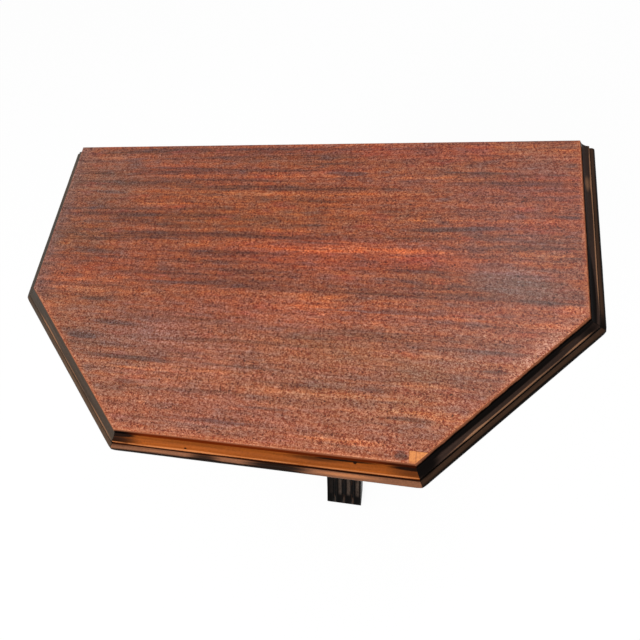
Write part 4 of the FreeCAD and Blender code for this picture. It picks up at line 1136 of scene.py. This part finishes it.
def moulding_line(name):
    """Middle and half length of the line along which a length of moulding meets the board."""
    width = moulding_width()
    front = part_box("moulding_front")[1]
    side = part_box("moulding_side_right")[0]
    front_corner = Vector((front.x - width * MITRE, front.y))
    side_corner = Vector((side.x, side.y + width * MITRE))
    if "front" in name:
        start, end = front_corner, Vector((-front_corner.x, front_corner.y))
    elif "cant" in name:
        start, end = side_corner, front_corner
    else:
        start, end = Vector((side.x, FIELD_HIGH.y)), side_corner
    middle = (start + end) / 2
    if "left" in name:
        middle.x = -middle.x
    return middle, (end - start).length / 2


def arc_by_spin(bm, vert, centre, end, steps, outwards):
    """Spins one vertex about the X direction through centre until it reaches end; gives the last vertex."""
    first = math.atan2(vert.co.z - centre.z, vert.co.y - centre.y)
    last = math.atan2(end.z - centre.z, end.y - centre.y)
    swept = (first - last) % math.tau if outwards else (last - first) % math.tau
    spun = bmesh.ops.spin(
        bm, geom=[vert], cent=centre, axis=(1, 0, 0), dvec=(0, 0, 0),
        angle=-swept if outwards else swept, steps=steps,
        use_merge=False, use_normal_flip=False, use_duplicate=False,
    )
    return picked(spun["geom_last"], bmesh.types.BMVert)[0]


def line_to(bm, vert, end):
    made = bmesh.ops.extrude_vert_indiv(bm, verts=[vert])["verts"][0]
    made.co = end
    return made


def moulding_section(bm, sizes, start):
    """The moulding's closed outline at x = start: cove, step, quirk, bead, flat foot and back."""
    drop = TOP_Z - sizes.bevel_drop
    arris = Vector((start, sizes.cove_width, drop - sizes.cove_drop))
    step_foot = arris + Vector((0, sizes.step_run, -sizes.step_drop))
    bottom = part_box("moulding_front")[0].z
    bead = Vector((start, moulding_width() - sizes.bead_radius, bottom + sizes.bead_radius))
    quirk_z = step_foot.z - sizes.quirk_drop
    quirk = Vector((start, bead.y - math.sqrt(sizes.bead_radius ** 2 - (quirk_z - bead.z) ** 2), quirk_z))
    begin = Vector((start, 0, drop))
    chord = arris - begin
    rise = math.sqrt(sizes.cove_radius ** 2 - chord.length ** 2 / 4)
    cove_centre = (begin + arris) / 2 + Vector((0, -chord.z, chord.y)).normalized() * rise
    first = bm.verts.new(begin)
    vert = arc_by_spin(bm, first, cove_centre, arris, COVE_STEPS, False)
    vert = line_to(bm, vert, step_foot)
    vert = line_to(bm, vert, quirk)
    vert = arc_by_spin(bm, vert, bead, bead + Vector((0, 0, -sizes.bead_radius)), BEAD_STEPS, True)
    vert = line_to(bm, vert, Vector((start, 0, bottom)))
    bmesh.ops.contextual_create(bm, geom=[first, vert])
    return bmesh.ops.edgeloop_fill(bm, edges=bm.edges)["faces"]


def moulding(name, sizes, materials):
    """One length of edge moulding, extruded in short steps, mitred at its corners and worn by use."""
    middle, half = moulding_line(name)
    bm = bmesh.new()
    reach = half + moulding_width() * MITRE
    ring = moulding_section(bm, sizes, -reach)
    steps = round(2 * reach / sizes.moulding_step)
    for count in range(steps):
        made = bmesh.ops.extrude_face_region(bm, geom=ring)
        moved = picked(made["geom"], bmesh.types.BMVert)
        bmesh.ops.translate(bm, vec=(2 * reach / steps, 0, 0), verts=moved)
        if count:
            bmesh.ops.delete(bm, geom=ring, context="FACES_ONLY")
        ring = picked(made["geom"], bmesh.types.BMFace)
    square_end = {"moulding_side_left": 1, "moulding_side_right": -1}.get(name, 0)
    for side in (-1, 1):
        lean = 0 if side == square_end else MITRE
        cut = bmesh.ops.bisect_plane(
            bm, geom=bm.verts[:] + bm.edges[:] + bm.faces[:], dist=CUT_DISTANCE,
            plane_co=(side * half, 0, 0), plane_no=Vector((side, -lean, 0)).normalized(), clear_outer=True,
        )
        bmesh.ops.edgeloop_fill(bm, edges=picked(cut["geom_cut"], bmesh.types.BMEdge))
    bmesh.ops.recalc_face_normals(bm, faces=bm.faces)
    ease_arris(bm, sizes)
    wear_moulding(bm, sizes, half, square_end)
    place = Matrix.Translation(middle.to_3d()) @ Matrix.Rotation(math.radians(MOULDING_TURNS[name]), 4, "Z")
    bmesh.ops.transform(bm, matrix=place, verts=bm.verts)
    finish_piece(bm, name + "_worn", [name], materials)


def ease_arris(bm, sizes):
    """Rounds the arris between cove and step."""
    arris = Vector((sizes.cove_width, TOP_Z - sizes.bevel_drop - sizes.cove_drop))
    long_edges = [
        edge for edge in bm.edges
        if all((vert.co.yz - arris).length < SAME_PLACE for vert in edge.verts)
    ]
    round_edges(bm, long_edges, sizes.moulding_ease)


def wear_moulding(bm, sizes, half, square_end):
    """Rubs the outer faces in a little, unevenly along the length, and rounds the mitred corners."""
    for vert in bm.verts:
        outer = min(1.0, max(0.0, vert.co.y / sizes.cove_width - WEAR_START))
        if not outer or vert.co.z < TOP_Z - WEAR_DEPTH:
            continue
        side = math.copysign(1.0, vert.co.x)
        to_mitre = half + vert.co.y * MITRE - abs(vert.co.x)
        if side != square_end and to_mitre < sizes.corner_reach:
            depth = sizes.corner_wear * outer * (1 - to_mitre / sizes.corner_reach) ** 2
            vert.co -= Vector((side * MITRE, 1, 0)).normalized() * depth
        if to_mitre > sizes.corner_reach / 4:
            rub = 0.5 + 0.5 * noise.noise(vert.co * WEAR_RIPPLES + Vector((half, 0, 0)))
            vert.co -= WEAR_WAY * rub * sizes.wear * outer


# Operators, one for each piece or group of like pieces


class TableOperator:
    """What the operators share: they can be undone, and go by the scene's sizes and colours."""

    bl_options = {"REGISTER", "UNDO"}

    def execute(self, context):
        self.make(context.scene.table_sizes, context.scene.table_colours)
        return {"FINISHED"}


class TABLE_OT_field(TableOperator, bpy.types.Operator):
    """Raised field of figured veneer, with the let-in patch at its front right corner"""

    bl_idname = "accent_table.field"
    bl_label = "Field and Patch"

    def make(self, sizes, colours):
        thickness = FIELD_HIGH.z - FIELD_LOW.z
        slope = sizes.bevel_run * thickness / sizes.bevel_drop
        field_foot, patch_foot = field_corners(sizes, 0.0)
        field, patch = field_corners(sizes, -slope)
        bevel = bevel_material(sizes, colours)
        veneer = face_veneer_material(sizes, colours)
        lighter = patch_material(sizes, colours)
        for corners, foot, name, node, slot, material in (
            (field, field_foot, "field_veneer", "top_veneer", "face_veneer", veneer),
            (patch, patch_foot, "patch_piece", "corner_patch", "patch_veneer", lighter),
        ):
            bm = slab(corners, foot, TOP_Z, thickness)
            ease_rim(bm, TOP_Z, sizes.field_ease)
            mark_slopes(bm, TOP_Z - sizes.field_ease / 2)
            finish_piece(bm, name, [node], [material, bevel])


class TABLE_OT_board(TableOperator, bpy.types.Operator):
    """Core board, its backing veneer and the plain lipping along the back"""

    bl_idname = "accent_table.board"
    bl_label = "Board"

    def make(self, sizes, colours):
        core = copied_node("top_core", 0)
        mark_slopes(core, TOP_Z)
        wood = plain_wood_material("core_wood", colours.carcase)
        bevel = bevel_material(sizes, colours)
        finish_piece(core, "core_board", ["top_core"], [wood, bevel])
        paint_node("backing_veneer", plain_wood_material("backing_veneer_wood", colours.backing))
        lipping = lipping_material(colours)
        worn = worn_arris_material(colours)
        eased_copy("back_lipping", "back_lipping_eased", sizes.field_ease, [lipping, worn])


class TABLE_OT_mouldings(TableOperator, bpy.types.Operator):
    """Five mitred lengths of cove and bead moulding"""

    bl_idname = "accent_table.mouldings"
    bl_label = "Mouldings"

    def make(self, sizes, colours):
        for name in MOULDING_TURNS:
            moulding(name, sizes, [moulding_material(name, sizes, colours)])


class TABLE_OT_bearers(TableOperator, bpy.types.Operator):
    """Crossed bearers under the top and the screws that hold them"""

    bl_idname = "accent_table.bearers"
    bl_label = "Bearers"

    def make(self, sizes, colours):
        for node, turn in (("bearer_long", 0), ("bearer_cross", 90)):
            wood = plain_wood_material(node + "_wood", colours.carcase, about_z(turn))
            eased_copy(node, node + "_eased", sizes.board_ease, [wood, wood])
        paint_node("bearer_screws", steel_material(colours))


class TABLE_OT_column(TableOperator, bpy.types.Operator):
    """Fluted column with its collar, ring and wedge"""

    bl_idname = "accent_table.column"
    bl_label = "Column"

    def make(self, sizes, colours):
        wood = base_wood_material("column_wood", colours, UPRIGHT_GRAIN)
        worn = worn_arris_material(colours)
        for node in ("column", "column_ring", "column_collar"):
            eased_copy(node, node + "_turned", sizes.base_ease, [wood, worn])
        paint_node("column_wedge", plain_wood_material("wedge_wood", colours.joint_wood, UPRIGHT_GRAIN))


class TABLE_OT_legs(TableOperator, bpy.types.Operator):
    """Drum, three fluted sabre legs and their dowels"""

    bl_idname = "accent_table.legs"
    bl_label = "Drum and Legs"

    def make(self, sizes, colours):
        worn = worn_arris_material(colours)
        drum = base_wood_material("drum_wood", colours, UPRIGHT_GRAIN)
        eased_copy("drum", "drum_turned", sizes.base_ease, [drum, worn])
        for node, turn in LEG_TURNS.items():
            wood = base_wood_material(node + "_wood", colours, about_z(turn), fluted=True)
            eased_copy(node, node + "_carved", sizes.base_ease, [wood, worn])
        paint_node("leg_dowels", plain_wood_material("dowel_wood", colours.joint_wood))


class TABLE_OT_metalwork(TableOperator, bpy.types.Operator):
    """Steel brace under the drum, its screws, and the glides under the toes"""

    bl_idname = "accent_table.metalwork"
    bl_label = "Metalwork"

    def make(self, sizes, colours):
        steel = steel_material(colours)
        eased_copy("brace_plate", "brace_plate_eased", sizes.base_ease, [steel, steel])
        paint_node("brace_screws", steel)
        paint_node("foot_glides", steel)


class TABLE_OT_stage(TableOperator, bpy.types.Operator):
    """Floor, surroundings, lamps and camera"""

    bl_idname = "accent_table.stage"
    bl_label = "Stage"

    def execute(self, context):
        settings = context.scene.table_stage
        self.surroundings(context.scene, settings)
        self.floor(settings)
        self.lamp("key_lamp", *KEY_LAMP, settings.key)
        self.lamp("sheen_lamp", *SHEEN_LAMP, settings.sheen)
        self.camera(context.scene, settings)
        context.scene.view_settings.view_transform = "Standard"
        return {"FINISHED"}

    def seen_directly(self, wire):
        """One where the eye looks straight or by a reflection, and zero for light on other things."""
        path = wire.node("LightPath").outputs
        seen = wire.math("MAXIMUM", path["Is Camera Ray"], path["Is Glossy Ray"])
        return wire.math("MAXIMUM", seen, path["Is Transmission Ray"])

    def surroundings(self, scene, settings):
        world = bpy.data.worlds.new("studio")
        wire = Wiring(emptied_tree(world))
        level = wire.line(self.seen_directly(wire), 1.0 - settings.sky, settings.sky)
        white = wire.node("Background", {"Color": (1, 1, 1), "Strength": level})
        wire.node("OutputWorld", {"Surface": white.outputs[0]})
        scene.world = world

    def floor(self, settings):
        bm = bmesh.new()
        bmesh.ops.create_grid(bm, x_segments=1, y_segments=1, size=settings.floor_size)
        material = bpy.data.materials.new("floor_white")
        floor = in_scene("floor", mesh_from(bm, "floor", [material]))
        wire = Wiring(emptied_tree(material))
        matt = wire.node("BsdfDiffuse", {"Color": (FLOOR_PAINT, FLOOR_PAINT, FLOOR_PAINT)})
        glow = wire.node("Emission", {"Color": (1, 1, 1), "Strength": FLOOR_LIGHT})
        glowing = wire.times(self.seen_directly(wire), settings.floor_glow)
        both = wire.node("MixShader", {0: glowing, 1: matt.outputs[0], 2: glow.outputs[0]})
        wire.node("OutputMaterial", {"Surface": both.outputs[0]})

    def lamp(self, name, place, target, size, power):
        data = bpy.data.lights.new(name, "AREA")
        data.shape = "DISK"
        data.size = size
        data.energy = power
        lamp = in_scene(name, data)
        lamp.location = place
        lamp.rotation_euler = (Vector(target) - Vector(place)).to_track_quat("-Z", "Y").to_euler()

    def camera(self, scene, settings):
        eye = Vector(settings.eye)
        forward = (Vector(settings.aim) - eye).normalized()
        level = forward.cross(UPRIGHT).normalized()
        raised = level.cross(forward)
        right = level * math.cos(settings.roll) + raised * math.sin(settings.roll)
        up = raised * math.cos(settings.roll) - level * math.sin(settings.roll)
        data = bpy.data.cameras.new("camera")
        data.lens = settings.lens
        data.sensor_width = SENSOR_WIDTH
        data.clip_start = CLIP_START
        camera = in_scene("camera", data)
        camera.matrix_world = Matrix.Translation(eye) @ Matrix((right, up, -forward)).transposed().to_4x4()
        scene.camera = camera


OPERATORS = [
    TABLE_OT_field,
    TABLE_OT_board,
    TABLE_OT_mouldings,
    TABLE_OT_bearers,
    TABLE_OT_column,
    TABLE_OT_legs,
    TABLE_OT_metalwork,
    TABLE_OT_stage,
]


class TABLE_PT_sidebar(bpy.types.Panel):
    """Lists the steps that make the table"""

    bl_label = "Accent Table"
    bl_space_type = "VIEW_3D"
    bl_region_type = "UI"
    bl_category = "Accent Table"

    def draw(self, context):
        for operator in OPERATORS:
            self.layout.operator(operator.bl_idname)


SETTINGS = {"table_sizes": TableSizes, "table_colours": TableColours, "table_stage": StageSettings}
CLASSES = [*SETTINGS.values(), *OPERATORS, TABLE_PT_sidebar]


def register():
    for item in CLASSES:
        bpy.utils.register_class(item)
    for word, kind in SETTINGS.items():
        setattr(bpy.types.Scene, word, bpy.props.PointerProperty(type=kind))


def unregister():
    for word in SETTINGS:
        delattr(bpy.types.Scene, word)
    for item in reversed(CLASSES):
        bpy.utils.unregister_class(item)


def main():
    register()
    bpy.ops.accent_table.field()
    bpy.ops.accent_table.board()
    bpy.ops.accent_table.mouldings()
    bpy.ops.accent_table.bearers()
    bpy.ops.accent_table.column()
    bpy.ops.accent_table.legs()
    bpy.ops.accent_table.metalwork()
    bpy.ops.accent_table.stage()


if __name__ == "__main__":
    main()
